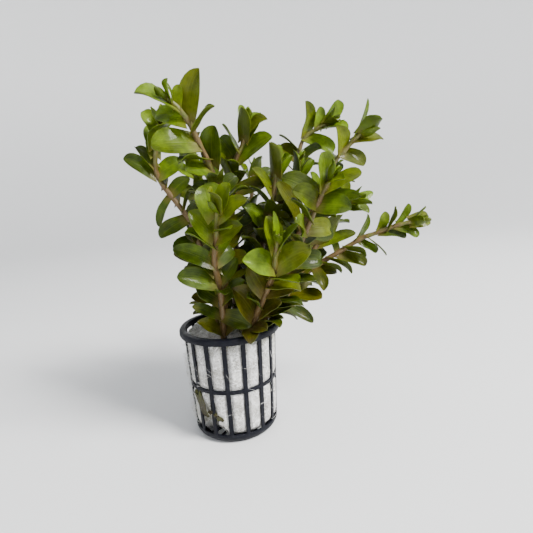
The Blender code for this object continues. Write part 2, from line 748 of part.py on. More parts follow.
def main():
    """Build the pot and the wool, then the stems, then the leaf pairs, front shoots first."""
    for piece in list(bpy.data.objects):
        bpy.data.objects.remove(piece)
    parts = bpy.data.collections.new("lemon_bacopa")
    cutters = bpy.data.collections.new("cutters")
    bpy.context.scene.collection.children.link(parts)
    bpy.context.scene.collection.children.link(cutters)

    plastic = make_material("pot_plastic", (0.012, 0.014, 0.022), 0.35)
    wool = make_material("rock_wool", (0.75, 0.74, 0.70), 0.95)
    bark = make_material("stem_skin", (0.25, 0.14, 0.08), 0.5)
    green = make_material("leaf", (0.12, 0.24, 0.02), 0.35)

    routes = {shoot.name: Route(shoot.route) for shoot in SHOOTS}
    pot = build_pot(parts, plastic)
    plug = build_plug(parts, cutters, wool, routes)
    neighbours = note_neighbours(pot, plug, routes, cutters)
    for shoot in SHOOTS:
        stem = grow_stem(shoot, routes[shoot.name], neighbours, cutters)
        add_object(f"stem_{shoot.name}", stem, parts, bark)
    for shoot in SHOOTS:
        for number, whorl in enumerate(shoot.pairs, start=1):
            name = f"leaves_{shoot.name}_{number}"
            leaves, place = grow_pair(name, routes[shoot.name], whorl, neighbours)
            add_object(name, leaves, parts, green, place)


main()
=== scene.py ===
"""Dresses the lemon bacopa: leafy stems rooted in rock wool inside a slotted net pot.

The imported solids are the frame. Every leaf is drawn afresh as a thick cupped blade on the cage
of its faceted solid, every stem as a round shoot with swollen nodes, and the pot and the wool
are modelled with their own detail. The plant stands on Z = 0 and its front faces -Y.
"""

import logging
import math
import random
from collections.abc import Iterable, Sequence
from dataclasses import dataclass, field
from enum import Enum

import bmesh
import bpy
import numpy as np
from mathutils import Matrix, Vector
from mathutils.bvhtree import BVHTree

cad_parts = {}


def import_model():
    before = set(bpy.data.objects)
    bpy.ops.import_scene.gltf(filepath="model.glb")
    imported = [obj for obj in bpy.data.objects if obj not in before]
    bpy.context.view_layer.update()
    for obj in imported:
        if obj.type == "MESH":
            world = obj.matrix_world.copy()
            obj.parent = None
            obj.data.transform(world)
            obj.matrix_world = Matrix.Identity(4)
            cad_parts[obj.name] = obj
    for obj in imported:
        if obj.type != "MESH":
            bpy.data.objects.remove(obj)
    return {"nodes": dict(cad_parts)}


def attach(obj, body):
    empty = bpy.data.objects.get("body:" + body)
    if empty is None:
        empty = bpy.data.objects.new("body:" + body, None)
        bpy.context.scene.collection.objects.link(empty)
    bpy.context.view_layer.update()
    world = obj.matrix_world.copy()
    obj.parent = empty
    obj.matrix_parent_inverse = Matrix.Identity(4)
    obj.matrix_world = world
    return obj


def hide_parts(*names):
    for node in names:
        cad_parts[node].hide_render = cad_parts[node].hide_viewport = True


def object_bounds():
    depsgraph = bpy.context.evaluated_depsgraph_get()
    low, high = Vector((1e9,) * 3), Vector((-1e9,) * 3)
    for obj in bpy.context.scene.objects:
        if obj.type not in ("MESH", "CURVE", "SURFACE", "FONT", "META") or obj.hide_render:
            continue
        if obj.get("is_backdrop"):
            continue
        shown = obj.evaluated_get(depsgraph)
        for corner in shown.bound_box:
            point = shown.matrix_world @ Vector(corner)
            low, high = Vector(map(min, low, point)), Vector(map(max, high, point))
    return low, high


LOG = logging.getLogger("lemon_bacopa")
BODY = "root"

Faces = list[tuple[int, ...]]
Pair = tuple[float, float]
Piece = bpy.types.Object
Socket = bpy.types.NodeSocket
Triple = tuple[float, float, float]


class Slot(Enum):
    """The record's material slots."""

    POT = "pot_plastic"
    WOOL = "rock_wool"
    STEM = "stem_skin"
    LEAF = "leaf"


class Season(Enum):
    """How far a leaf that is past its best has aged."""

    OLIVE = 0.85
    SPENT = 1.0


# Helpers.


def deselect() -> None:
    """Leave edit mode and deselect every object."""
    if bpy.context.object and bpy.context.object.mode != "OBJECT":
        bpy.ops.object.mode_set(mode="OBJECT")
    bpy.ops.object.select_all(action="DESELECT")


def activate(piece: Piece) -> None:
    """Make one object the only selected one and the active one."""
    deselect()
    piece.select_set(True)
    bpy.context.view_layer.objects.active = piece


def join(pieces: Sequence[Piece], name: str) -> Piece:
    """Join several mesh objects into the first of them.

    Args:
        pieces: The objects, the first of which keeps its materials first.
        name: The joined object's name.

    Returns:
        The joined object.
    """
    deselect()
    for piece in pieces:
        piece.select_set(True)
    bpy.context.view_layer.objects.active = pieces[0]
    if len(pieces) > 1:
        bpy.ops.object.join()
    pieces[0].name = pieces[0].data.name = name
    return pieces[0]


def apply_modifiers(piece: Piece) -> None:
    """Apply all modifiers of an object, in order."""
    activate(piece)
    for modifier in list(piece.modifiers):
        bpy.ops.object.modifier_apply(modifier=modifier.name)


def show(name: str, data: bpy.types.ID) -> Piece:
    """Put data in the scene as a new object."""
    piece = bpy.data.objects.new(name, data)
    bpy.context.scene.collection.objects.link(piece)
    return piece


def turned(name: str, columns: int, profile: Sequence[Pair], closed: bool = False) -> Piece:
    """Turn a profile about Z: a disc whose rim is extruded from ring to ring.

    Args:
        name: The piece's name.
        columns: How many corners each ring has.
        profile: Each ring's radius and height.
        closed: Whether the last ring is closed and all faces look outwards.

    Returns:
        The turned piece.
    """
    deselect()
    radius, height = profile[0]
    bpy.ops.mesh.primitive_circle_add(vertices=columns, radius=radius, fill_type="NGON",
                                      location=(0, 0, height))
    piece = bpy.context.object
    piece.name = piece.data.name = name
    bpy.ops.object.transform_apply(location=True, rotation=False, scale=False)
    bpy.ops.object.mode_set(mode="EDIT")
    bpy.ops.mesh.select_mode(type="EDGE")
    bpy.ops.mesh.select_all(action="SELECT")
    bpy.ops.mesh.region_to_loop()
    for wider, higher in profile[1:]:
        bpy.ops.mesh.extrude_edges_move(TRANSFORM_OT_translate={"value": (0, 0, higher - height)})
        bpy.ops.transform.resize(value=(wider / radius, wider / radius, 1.0),
                                 center_override=(0, 0, higher))
        radius, height = wider, higher
    if closed:
        bpy.ops.mesh.edge_face_add()
        bpy.ops.mesh.select_all(action="SELECT")
        bpy.ops.mesh.normals_make_consistent(inside=False)
    bpy.ops.object.mode_set(mode="OBJECT")
    return piece


def write_tone(piece: Piece, name: str, *channels: np.ndarray | float) -> None:
    """Write a colour attribute on an object's corners.

    Args:
        piece: The object.
        name: The attribute's name.
        channels: Its red, green and blue; those left out are 1.
    """
    values = np.ones((len(piece.data.vertices), 4))
    for channel, value in enumerate(channels):
        values[:, channel] = value
    tones = piece.data.color_attributes
    tone = tones.get(name) or tones.new(name, "FLOAT_COLOR", "POINT")
    tone.data.foreach_set("color", values.ravel())


def complete(piece: Piece, material: bpy.types.Material, angle: float, slot: Slot,
             *nodes: str) -> None:
    """Shade a piece, and let it ride on the plant and stand for its solids.

    Args:
        piece: The finished piece.
        material: Its only material.
        angle: Edges that are sharper than this angle in degrees stay sharp.
        slot: The record's slot, which is not used.
        nodes: The solids that it stands for, if any.
    """
    piece.data.materials.clear()
    piece.data.materials.append(material)
    activate(piece)
    bpy.ops.object.shade_smooth_by_angle(angle=math.radians(angle))
    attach(piece, BODY)
    if nodes:
        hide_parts(*nodes)
    LOG.info("%s: %d faces, for %s", piece.name, len(piece.data.polygons), nodes or "no solid")


def rise(value: np.ndarray, start: float, span: float) -> np.ndarray:
    """From 0 where a value is at its start to 1 at the end of the span, which may be negative."""
    return np.clip((value - start) / span, 0, 1)


def unit(vectors: np.ndarray) -> np.ndarray:
    """Rows scaled to length 1."""
    return vectors / np.maximum(np.linalg.norm(vectors, axis=1, keepdims=True), 1e-12)


def smooth_line(marks: np.ndarray, points: np.ndarray, where: np.ndarray) -> np.ndarray:
    """Places on a smooth curve through points, with the slope at each taken from both sides.

    Args:
        marks: The points' places along the curve, rising.
        points: The points, one row each.
        where: The places wanted.

    Returns:
        One row for each place wanted.
    """
    steps = np.diff(marks)[:, None]
    slopes = np.diff(points, axis=0) / steps
    inner = (slopes[:-1] * steps[1:] + slopes[1:] * steps[:-1]) / (steps[1:] + steps[:-1])
    tangents = np.concatenate([slopes[:1], inner, slopes[-1:]])
    index = np.clip(np.searchsorted(marks, where, side="right") - 1, 0, len(marks) - 2)
    span = (marks[index + 1] - marks[index])[:, None]
    part = ((where - marks[index])[:, None]) / span
    one, two = points[index], points[index + 1]
    first, second = tangents[index] * span, tangents[index + 1] * span
    return ((2 * part ** 3 - 3 * part ** 2 + 1) * one + (part ** 3 - 2 * part ** 2 + part) * first
            + (3 * part ** 2 - 2 * part ** 3) * two + (part ** 3 - part ** 2) * second)


# Finishes.


class Nodes:
    """A short way to lay out one procedural material."""

    def __init__(self, name: str) -> None:
        """Start a material with a Principled shader.

        Args:
            name: The material's name.
        """
        self.material = bpy.data.materials.new(name)
        self.material.use_nodes = True
        self.tree = self.material.node_tree
        self.shader = self.tree.nodes["Principled BSDF"]

    def feed(self, end: Socket, value: object) -> None:
        """Link a socket to an input, or set the input to a plain value."""
        if isinstance(value, Socket):
            self.tree.links.new(value, end)
        else:
            end.default_value = value

    def add(self, kind: str, inputs: dict[str | int, object] | None = None,
            **values: object) -> bpy.types.Node:
        """Add a node.

        Args:
            kind: The node's type.
            inputs: A socket or a plain value for each input.
            values: The node's properties.

        Returns:
            The node.
        """
        node = self.tree.nodes.new(kind)
        for name, value in values.items():
            setattr(node, name, value)
        for name, value in (inputs or {}).items():
            self.feed(node.inputs[name], value)
        return node

    def coordinates(self, output: str = "Object", scale: Triple = (1, 1, 1),
                    turn: Triple = (0, 0, 0), kind: str = "POINT") -> Socket:
        """Texture coordinates through a mapping.

        Args:
            output: The coordinate's output, Object or UV.
            scale: How the pattern is scaled.
            turn: How the pattern is turned, in radians.
            kind: POINT scales before it turns; TEXTURE turns back first and then divides.

        Returns:
            The vector socket.
        """
        source = self.add("ShaderNodeTexCoord").outputs[output]
        return self.add("ShaderNodeMapping", {"Scale": scale, "Rotation": turn, "Vector": source},
                        vector_type=kind).outputs["Vector"]

    def noise(self, vector: Socket, scale: float, detail: float,
              roughness: float = 0.55) -> Socket:
        """A noise pattern's value."""
        return self.add("ShaderNodeTexNoise", {
            "Scale": scale, "Detail": detail, "Roughness": roughness,
            "Vector": vector}).outputs["Fac"]

    def ramp(self, value: Socket, stops: Sequence[tuple[float, Triple]]) -> Socket:
        """A colour ramp over a value.

        Args:
            value: The socket that drives the ramp.
            stops: Each stop's place and its colour.

        Returns:
            The colour socket.
        """
        node = self.add("ShaderNodeValToRGB", {"Fac": value})
        elements = node.color_ramp.elements
        while len(elements) < len(stops):
            elements.new(0.5)
        for element, (place, colour) in zip(elements, stops):
            element.position = place
            element.color = (*colour, 1.0)
        return node.outputs["Color"]

    def grey(self, value: Socket, low: float, high: float, start: float = 0.0,
             end: float = 1.0) -> Socket:
        """A value remapped from one range, start to end, to another, low to high."""
        return self.add("ShaderNodeMapRange", {
            "From Min": start, "From Max": end, "To Min": low, "To Max": high,
            "Value": value}).outputs["Result"]

    def mix(self, share: Socket, first: Socket | Triple, second: Triple) -> Socket:
        """Two colours mixed by the second one's share."""
        node = self.add("ShaderNodeMix", {0: share, 7: (*second, 1.0)}, data_type="RGBA")
        self.feed(node.inputs[6], (*first, 1.0) if isinstance(first, tuple) else first)
        return node.outputs[2]

    def tint(self, base: Socket | Triple, colour: Triple, value: Socket, most: float,
             start: float, end: float) -> Socket:
        """A colour laid over a base: none of it where a value is at start, the most at end."""
        return self.mix(self.grey(value, 0.0, most, start, end), base, colour)

    def maths(self, operation: str, first: Socket, second: Socket | float = 0.5) -> Socket:
        """One sum on two values."""
        return self.add("ShaderNodeMath", {0: first, 1: second}, operation=operation).outputs[0]

    def bump(self, height: Socket, distance: float, strength: float,
             before: Socket | None = None) -> Socket:
        """A bump from a height pattern.

        Args:
            height: The pattern.
            distance: The pattern's depth in metres.
            strength: How much of it shows.
            before: A bump's normal that this one adds to.

        Returns:
            The normal socket.
        """
        node = self.add("ShaderNodeBump", {"Distance": distance, "Strength": strength,
                                           "Height": height})
        if before:
            self.feed(node.inputs["Normal"], before)
        return node.outputs["Normal"]

    def attribute(self, name: str) -> bpy.types.Node:
        """An attribute's colour, split into its three channels."""
        source = self.add("ShaderNodeAttribute", attribute_name=name)
        return self.add("ShaderNodeSeparateColor", {"Color": source.outputs["Color"]})

    def finish(self, colour: Socket, roughness: Socket | float, normal: Socket,
               **plain: object) -> bpy.types.Material:
        """Feed the shader.

        Args:
            colour: The base colour.
            roughness: The roughness.
            normal: The normal after all bumps.
            plain: Shader inputs that are the same all over, by name with _ for a space.

        Returns:
            The finished material.
        """
        plain |= {"Base_Color": colour, "Roughness": roughness, "Normal": normal}
        for name, value in plain.items():
            self.feed(self.shader.inputs[name.replace("_", " ")], value)
        return self.material


@dataclass(frozen=True)
class LeafSkin:
    """A fleshy leaf: its tones from young to spent, its veins, a painted glow of light along its
    rim and its soft shine.
    """

    young: Triple = (0.110, 0.185, 0.0)
    fresh: Triple = (0.035, 0.061, 0.0)
    full: Triple = (0.0122, 0.0225, 0.0)
    olive: Triple = (0.048, 0.040, 0.0)
    spent: Triple = (0.030, 0.018, 0.003)
    golden: Triple = (0.084, 0.078, 0.0)
    shade: Triple = (0.004, 0.010, 0.0)
    underside: Triple = (0.038, 0.052, 0.004)
    vein_and_painted_rim_light: Triple = (0.115, 0.150, 0.004)
    # This colour is also the painted rim light: light glowing through the thin leaf margin.
    flush: Triple = (0.110, 0.075, 0.018)
    mottle_scale: float = 420.0
    patch_scale: float = 130.0
    pore_scale: float = 1500.0
    vein_count: float = 9.0
    vein_show: float = 0.34
    underside_show: float = 0.60
    streak_moves: float = 60.0

    def material(self) -> bpy.types.Material:
        """The leaf's material; it reads the age, the chance and the side from leaf_tone."""
        nodes = Nodes("leaf_skin")
        tone = nodes.attribute("leaf_tone")
        spot = nodes.coordinates()
        place = nodes.add("ShaderNodeSeparateXYZ", {"Vector": nodes.coordinates("UV")})
        along, across = place.outputs["X"], place.outputs["Y"]
        aside = nodes.maths("ABSOLUTE", nodes.maths("SUBTRACT", across, 0.5))
        mottle = nodes.noise(spot, self.mottle_scale, 5.0)
        patches = nodes.noise(spot, self.patch_scale, 2.0)
        base = self.tones(nodes, tone, patches)
        base = nodes.tint(base, self.shade, mottle, 0.55, 0.42, 0.78)
        veins = self.veins(nodes, tone, across, aside)
        base = nodes.mix(nodes.maths("MULTIPLY", veins, self.vein_show), base, self.vein_and_painted_rim_light)
        below = nodes.maths("MULTIPLY", tone.outputs["Blue"], self.underside_show)
        base = nodes.mix(below, base, self.underside)
        # Painted light: a pale line along the margin, in the vein colour, stands in for light
        # glowing through the thin edge.
        base = nodes.tint(base, self.vein_and_painted_rim_light, aside, 0.22, 0.45, 0.495)
        base = nodes.mix(nodes.grey(along, 0.50, 0.0, 0.02, 0.16), base, self.flush)
        normal = nodes.bump(veins, 0.00012, 0.6)
        normal = nodes.bump(patches, 0.0007, 0.35, normal)
        normal = nodes.bump(nodes.noise(spot, self.pore_scale, 3.0), 0.00008, 0.7, normal)
        return nodes.finish(
            base, nodes.grey(mottle, 0.34, 0.58, 0.3, 0.7), normal, Subsurface_Weight=0.07,
            Subsurface_Radius=(0.0008, 0.0012, 0.0001), Subsurface_Scale=1.0,
            Coat_Weight=0.09, Coat_Roughness=0.10, Specular_IOR_Level=0.12)

    def tones(self, nodes: Nodes, tone: bpy.types.Node, patches: Socket) -> Socket:
        """The colour by age, with a golden cast on some leaves.

        Args:
            nodes: The material that is being laid out.
            tone: The leaf's age in red and its chance in green.
            patches: A soft pattern that makes the tone uneven.

        Returns:
            The colour before veins and shading.
        """
        age = nodes.maths("ADD", tone.outputs["Red"], nodes.grey(patches, -0.16, 0.16, 0.3, 0.7))
        base = nodes.ramp(age, [(0.0, self.young), (0.3, self.fresh), (0.6, self.full),
                                (0.85, self.olive), (1.0, self.spent)])
        return nodes.tint(base, self.golden, tone.outputs["Green"], 0.60, 0.55, 1.0)

    def veins(self, nodes: Nodes, tone: bpy.types.Node, across: Socket,
              aside: Socket) -> Socket:
        """The faint veins and streaks that run from the leaf's base to its tip.

        Args:
            nodes: The material that is being laid out.
            tone: The leaf's chance in green, which moves its streaks.
            across: The place across the leaf, from 0 to 1.
            aside: The distance from the midrib, from 0 to a half.

        Returns:
            A value that is 1 on a vein and 0 between veins.
        """
        wander = nodes.noise(nodes.coordinates("UV", (3.0, 9.0, 1.0)), 1.4, 2.0)
        line = nodes.maths("ADD", across, nodes.grey(wander, -0.02, 0.02))
        wave = nodes.maths("COSINE", nodes.maths("MULTIPLY", nodes.maths(
            "SUBTRACT", line, 0.5), math.tau * self.vein_count))
        ribs = nodes.grey(wave, 0.0, 0.50, 0.70, 1.0)
        moved = nodes.add("ShaderNodeVectorMath", {
            0: nodes.coordinates("UV", (1.6, 19.0, 1.0)),
            1: nodes.maths("MULTIPLY", tone.outputs["Green"], self.streak_moves)},
            operation="ADD")
        streaks = nodes.grey(nodes.noise(moved.outputs["Vector"], 1.0, 4.0), 0.0, 1.0, 0.48, 0.78)
        midrib = nodes.grey(aside, 0.9, 0.0, 0.006, 0.030)
        return nodes.maths("MAXIMUM", nodes.maths("MAXIMUM", ribs, streaks), midrib)


@dataclass(frozen=True)
class StemSkin:
    """A fleshy stem: brown and pink low down, yellow-green at its tip, streaked lengthwise."""

    old: Triple = (0.056, 0.031, 0.009)
    middle: Triple = (0.092, 0.055, 0.014)
    young: Triple = (0.085, 0.098, 0.010)
    flush: Triple = (0.135, 0.080, 0.030)
    down: Triple = (0.27, 0.22, 0.12)
    streak_scale: float = 1300.0
    blotch_scale: float = 220.0
    hair_scale: float = 2600.0

    def material(self) -> bpy.types.Material:
        """The stem's material; it reads the height along the stem from stem_tone."""
        nodes = Nodes("stem_skin")
        tone = nodes.attribute("stem_tone")
        streaks = nodes.noise(nodes.coordinates(scale=(1.0, 1.0, 0.18)), self.streak_scale, 4.0)
        blotches = nodes.noise(nodes.coordinates(), self.blotch_scale, 3.0)
        height = nodes.maths("ADD", tone.outputs["Red"],
                             nodes.grey(blotches, -0.18, 0.18, 0.3, 0.7))
        base = nodes.ramp(height, [(0.0, self.old), (0.45, self.middle), (0.74, self.middle),
                                   (0.92, self.young)])
        base = nodes.tint(base, self.flush, streaks, 0.60, 0.42, 0.75)
        hairs = nodes.noise(nodes.coordinates(scale=(1.0, 1.0, 0.45)), self.hair_scale, 2.0, 0.7)
        base = nodes.tint(base, self.down, hairs, 0.55, 0.60, 0.72)
        normal = nodes.bump(streaks, 0.00014, 0.7)
        normal = nodes.bump(hairs, 0.00008, 0.7, normal)
        normal = nodes.bump(blotches, 0.0004, 0.4, normal)
        return nodes.finish(
            base, nodes.grey(streaks, 0.38, 0.62), normal, Subsurface_Weight=0.12,
            Subsurface_Radius=(0.0012, 0.0006, 0.0003), Subsurface_Scale=1.0,
            Coat_Weight=0.08, Coat_Roughness=0.2, Specular_IOR_Level=0.35)


@dataclass(frozen=True)
class PotPlastic:
    """Thin moulded black plastic, smudged, and dusted with pale specks."""

    black: Triple = (0.0035, 0.0040, 0.0075)
    dust: Triple = (0.10, 0.105, 0.11)
    smudge_scale: float = 120.0
    speck_scale: float = 1700.0

    def material(self) -> bpy.types.Material:
        """The pot's material."""
        nodes = Nodes("pot_plastic")
        spot = nodes.coordinates()
        smudge = nodes.noise(spot, self.smudge_scale, 6.0, 0.65)
        specks = nodes.noise(spot, self.speck_scale, 2.0, 0.7)
        dusty = nodes.maths("MULTIPLY", nodes.grey(specks, 0.0, 0.9, 0.62, 0.76),
                            nodes.grey(smudge, 0.0, 0.9, 0.46, 0.64))
        film = nodes.grey(smudge, 0.0, 0.06, 0.50, 0.75)
        base = nodes.mix(nodes.maths("MAXIMUM", dusty, film), self.black, self.dust)
        normal = nodes.bump(smudge, 0.00015, 0.30)
        normal = nodes.bump(specks, 0.00003, 0.5, normal)
        return nodes.finish(base, nodes.grey(smudge, 0.32, 0.62, 0.35, 0.7), normal,
                            Specular_IOR_Level=0.12)


@dataclass(frozen=True)
class WoolFelt:
    """Damp white rock wool: short felted fibres, greyed and a little green where it is wet."""

    white: Triple = (0.74, 0.73, 0.70)
    grey: Triple = (0.36, 0.345, 0.31)
    shadow: Triple = (0.20, 0.19, 0.16)
    glint: Triple = (0.96, 0.96, 0.95)
    stain: Triple = (0.17, 0.17, 0.045)
    clump_scale: float = 170.0
    speck_scale: float = 800.0
    fibre_scale: float = 360.0
    fibre_stretch: Triple = (1.0, 1.0, 4.5)
    lays: tuple[Triple, ...] = (
        (0.0, 0.7, 0.2), (0.1, -0.9, 0.0), (0.8, 0.1, 0.0), (-0.6, 0.2, 0.4), (0.1, 1.5, 0.3))

    def material(self) -> bpy.types.Material:
        """The wool's material; its stain is the most on the crown, read from wool_tone."""
        nodes = Nodes("rock_wool")
        tone = nodes.attribute("wool_tone")
        spot = nodes.coordinates()
        clumps = nodes.noise(spot, self.clump_scale, 4.0)
        specks = nodes.noise(spot, self.speck_scale, 4.0, 0.75)
        felt = self.felt(nodes)
        base = nodes.tint(self.white, self.grey, clumps, 1.0, 0.36, 0.62)
        base = nodes.mix(nodes.grey(specks, 0.85, 0.0, 0.34, 0.47), base, self.shadow)
        base = nodes.mix(nodes.maths("MULTIPLY", felt, 0.85), base, self.glint)
        soaked = nodes.maths("MULTIPLY", tone.outputs["Red"],
                             nodes.grey(clumps, 0.2, 1.0, 0.35, 0.65))
        base = nodes.mix(soaked, base, self.stain)
        normal = nodes.bump(felt, 0.0006, 0.9)
        normal = nodes.bump(clumps, 0.0014, 0.6, normal)
        normal = nodes.bump(specks, 0.0003, 0.5, normal)
        return nodes.finish(base, 0.85, normal, Subsurface_Weight=0.10,
                            Subsurface_Radius=(0.0015, 0.0015, 0.0014), Subsurface_Scale=1.0,
                            Sheen_Weight=0.2, Sheen_Roughness=0.6)

    def felt(self, nodes: Nodes) -> Socket:
        """Long thin fibres that lie across each other.

        Args:
            nodes: The material that is being laid out.

        Returns:
            A value that is 1 on a fibre and 0 between fibres.
        """
        lines = None
        for turn in self.lays:
            spot = nodes.coordinates(scale=self.fibre_stretch, turn=turn, kind="TEXTURE")
            lay = nodes.noise(spot, self.fibre_scale, 1.5)
            ridge = nodes.maths("ABSOLUTE", nodes.maths("SUBTRACT", lay, 0.5))
            line = nodes.grey(ridge, 1.0, 0.0, 0.004, 0.026)
            lines = line if lines is None else nodes.maths("MAXIMUM", lines, line)
        return lines


@dataclass(frozen=True)
class Residue:
    """Rotting leaf and algae: dark and brown, with olive patches and pale specks."""

    brown: Triple = (0.020, 0.014, 0.004)
    olive: Triple = (0.040, 0.046, 0.004)
    speck: Triple = (0.12, 0.105, 0.032)
    patch_scale: float = 420.0
    speck_scale: float = 1900.0

    def material(self) -> bpy.types.Material:
        """The residue's material; leaf_tone's red makes it more olive where it is low."""
        nodes = Nodes("residue")
        tone = nodes.attribute("leaf_tone")
        spot = nodes.coordinates()
        patches = nodes.noise(spot, self.patch_scale, 4.0)
        specks = nodes.noise(spot, self.speck_scale, 2.0, 0.7)
        age = nodes.maths("ADD", tone.outputs["Red"], nodes.grey(patches, -0.35, 0.35, 0.3, 0.7))
        base = nodes.tint(self.olive, self.brown, age, 1.0, 0.55, 1.0)
        base = nodes.tint(base, self.speck, specks, 0.7, 0.58, 0.70)
        normal = nodes.bump(patches, 0.0006, 0.6)
        normal = nodes.bump(specks, 0.0002, 0.5, normal)
        return nodes.finish(base, nodes.grey(specks, 0.35, 0.65, 0.3, 0.7), normal,
                            Specular_IOR_Level=0.3)


@dataclass(frozen=True)
class Floor:
    """A plain pale studio floor."""

    pale: Triple = (0.76, 0.77, 0.785)
    dim: Triple = (0.72, 0.73, 0.75)
    cloud_scale: float = 6.0

    def material(self) -> bpy.types.Material:
        """The floor's material."""
        nodes = Nodes("floor")
        cloud = nodes.noise(nodes.coordinates(), self.cloud_scale, 2.0)
        base = nodes.tint(self.pale, self.dim, cloud, 0.25, 0.0, 1.0)
        return nodes.finish(base, 0.45, nodes.bump(cloud, 0.0002, 0.2))


# Reading the solids.


STATIONS = (0.33, 0.78)
SHARES = (0.95, 0.88)


@dataclass
class LeafCage:
    """One leaf's faceted blade: where it grows from, its two rings and its tip.

    Each ring is its left edge, upper midrib, right edge and lower midrib. The rings lie at
    STATIONS along the blade, and they are SHARES of its full width wide.
    """

    THICKNESS = 0.0008
    CUP = 0.35

    root: Vector
    rings: list[tuple[Vector, Vector, Vector, Vector]]
    tip: Vector

    @classmethod
    def grown(cls, root: Vector, axis: Vector, outward: Vector, length: float, width: float,
              lift: float, curl: float) -> "LeafCage":
        """A young leaf's cage.

        Args:
            root: Where it grows from.
            axis: The way its stem grows.
            outward: The way out from its stem.
            length: Its length.
            width: Its full width.
            lift: How far it leans from the stem, in radians.
            curl: How much further it leans at its tip than at its root, in radians.

        Returns:
            The cage.
        """
        rings, place, reached = [], root.copy(), 0.0
        for part, share in (*zip(STATIONS, SHARES), (1.0, 0.0)):
            bend = lift + curl * ((reached + part) / 2 - 0.5)
            heading = axis * math.cos(bend) + outward * math.sin(bend)
            upper = axis * math.sin(bend) - outward * math.cos(bend)
            place = place + heading * (part - reached) * length
            reached = part
            half = upper.cross(heading) * share * width / 2
            rise = upper * cls.CUP * part * half.length
            thick = upper * cls.THICKNESS / 2
            rings.append((place + half + rise, place + thick, place - half + rise, place - thick))
        return cls(root, rings[:-1], place)

    def shell(self, swell: float) -> tuple[list[Vector], Faces]:
        """The cage's surface beyond its neck, swollen all round.

        Args:
            swell: How far its corners stand out from its midline.

        Returns:
            Its corners and its faces.
        """
        points: list[Vector] = []
        for ring in self.rings:
            middle = (ring[1] + ring[3]) / 2
            if not points:
                points += [self.root.lerp(corner, 0.5) for corner in ring]
            points += [corner + (corner - middle).normalized() * swell for corner in ring]
        points.append(self.tip + (self.tip - middle).normalized() * swell)
        faces: Faces = [(0, 1, 2, 3)]
        for start in (0, 4):
            faces += [(start + k, start + (k + 1) % 4, start + 4 + (k + 1) % 4, start + 4 + k)
                      for k in range(4)]
        faces += [(8 + k, 8 + (k + 1) % 4, 12) for k in range(4)]
        return points, faces


class Crowd:
    """All that stands in the plant so far, for finding room for a young leaf."""

    SWELL = 0.0004
    REACH = 0.006

    def __init__(self, nodes: dict[str, Piece], box: tuple[Vector, Vector]) -> None:
        """Keep the solids in mind.

        Args:
            nodes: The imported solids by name.
            box: The corners of the box that every leaf stays in.
        """
        self.low, self.high = box
        self.trees: dict[str, BVHTree] = {}
        self.blades: list[tuple[np.ndarray, np.ndarray, BVHTree]] = []
        for name, node in nodes.items():
            self.trees[name] = BVHTree.FromPolygons(
                [vertex.co for vertex in node.data.vertices],
                [tuple(face.vertices) for face in node.data.polygons])

    def takes(self, cage: LeafCage) -> bool:
        """Whether a leaf fits: inside the box, among the solids' leaves, and touching nothing."""
        points, faces = cage.shell(self.SWELL)
        inside = all(self.low[axis] < point[axis] < self.high[axis]
                     for point in points for axis in range(3))
        return inside and self.is_among(cage.tip) and not self.is_touched(points, faces)

    def is_among(self, place: Vector) -> bool:
        """Whether a place lies close to a solid's leaf."""
        return any(tree.find_nearest(place, self.REACH)[0] is not None
                   for tree in self.trees.values())

    def is_touched(self, points: list[Vector], faces: Faces) -> bool:
        """Whether a surface cuts any that is kept in mind."""
        trial = BVHTree.FromPolygons(points, faces)
        return any(tree.overlap(trial) for tree in self.trees.values())

    def add(self, name: str, cage: LeafCage) -> None:
        """Keep one more leaf in mind."""
        self.trees[name] = BVHTree.FromPolygons(*cage.shell(0.0))

    def cuts(self, corners: np.ndarray, faces: Faces, own: str) -> bool:
        """Whether a finished blade cuts one built before it, or another stem.

        Args:
            corners: The blade's corners.
            faces: Its faces beyond its clasping foot.
            own: The solid of the stem that it grows from.

        Returns:
            Whether it cuts anything.
        """
        low, high = corners.min(0), corners.max(0)
        trial = BVHTree.FromPolygons(corners.tolist(), faces)
        near = [tree for least, most, tree in self.blades
                if (low < most).all() and (least < high).all()]
        near += [tree for name, tree in self.trees.items()
                 if name.startswith("stem_") and name != own]
        return any(tree.overlap(trial) for tree in near)

    def keep(self, corners: np.ndarray, faces: Faces) -> None:
        """Keep a finished blade in mind."""
        tree = BVHTree.FromPolygons(corners.tolist(), faces)
        self.blades.append((corners.min(0), corners.max(0), tree))


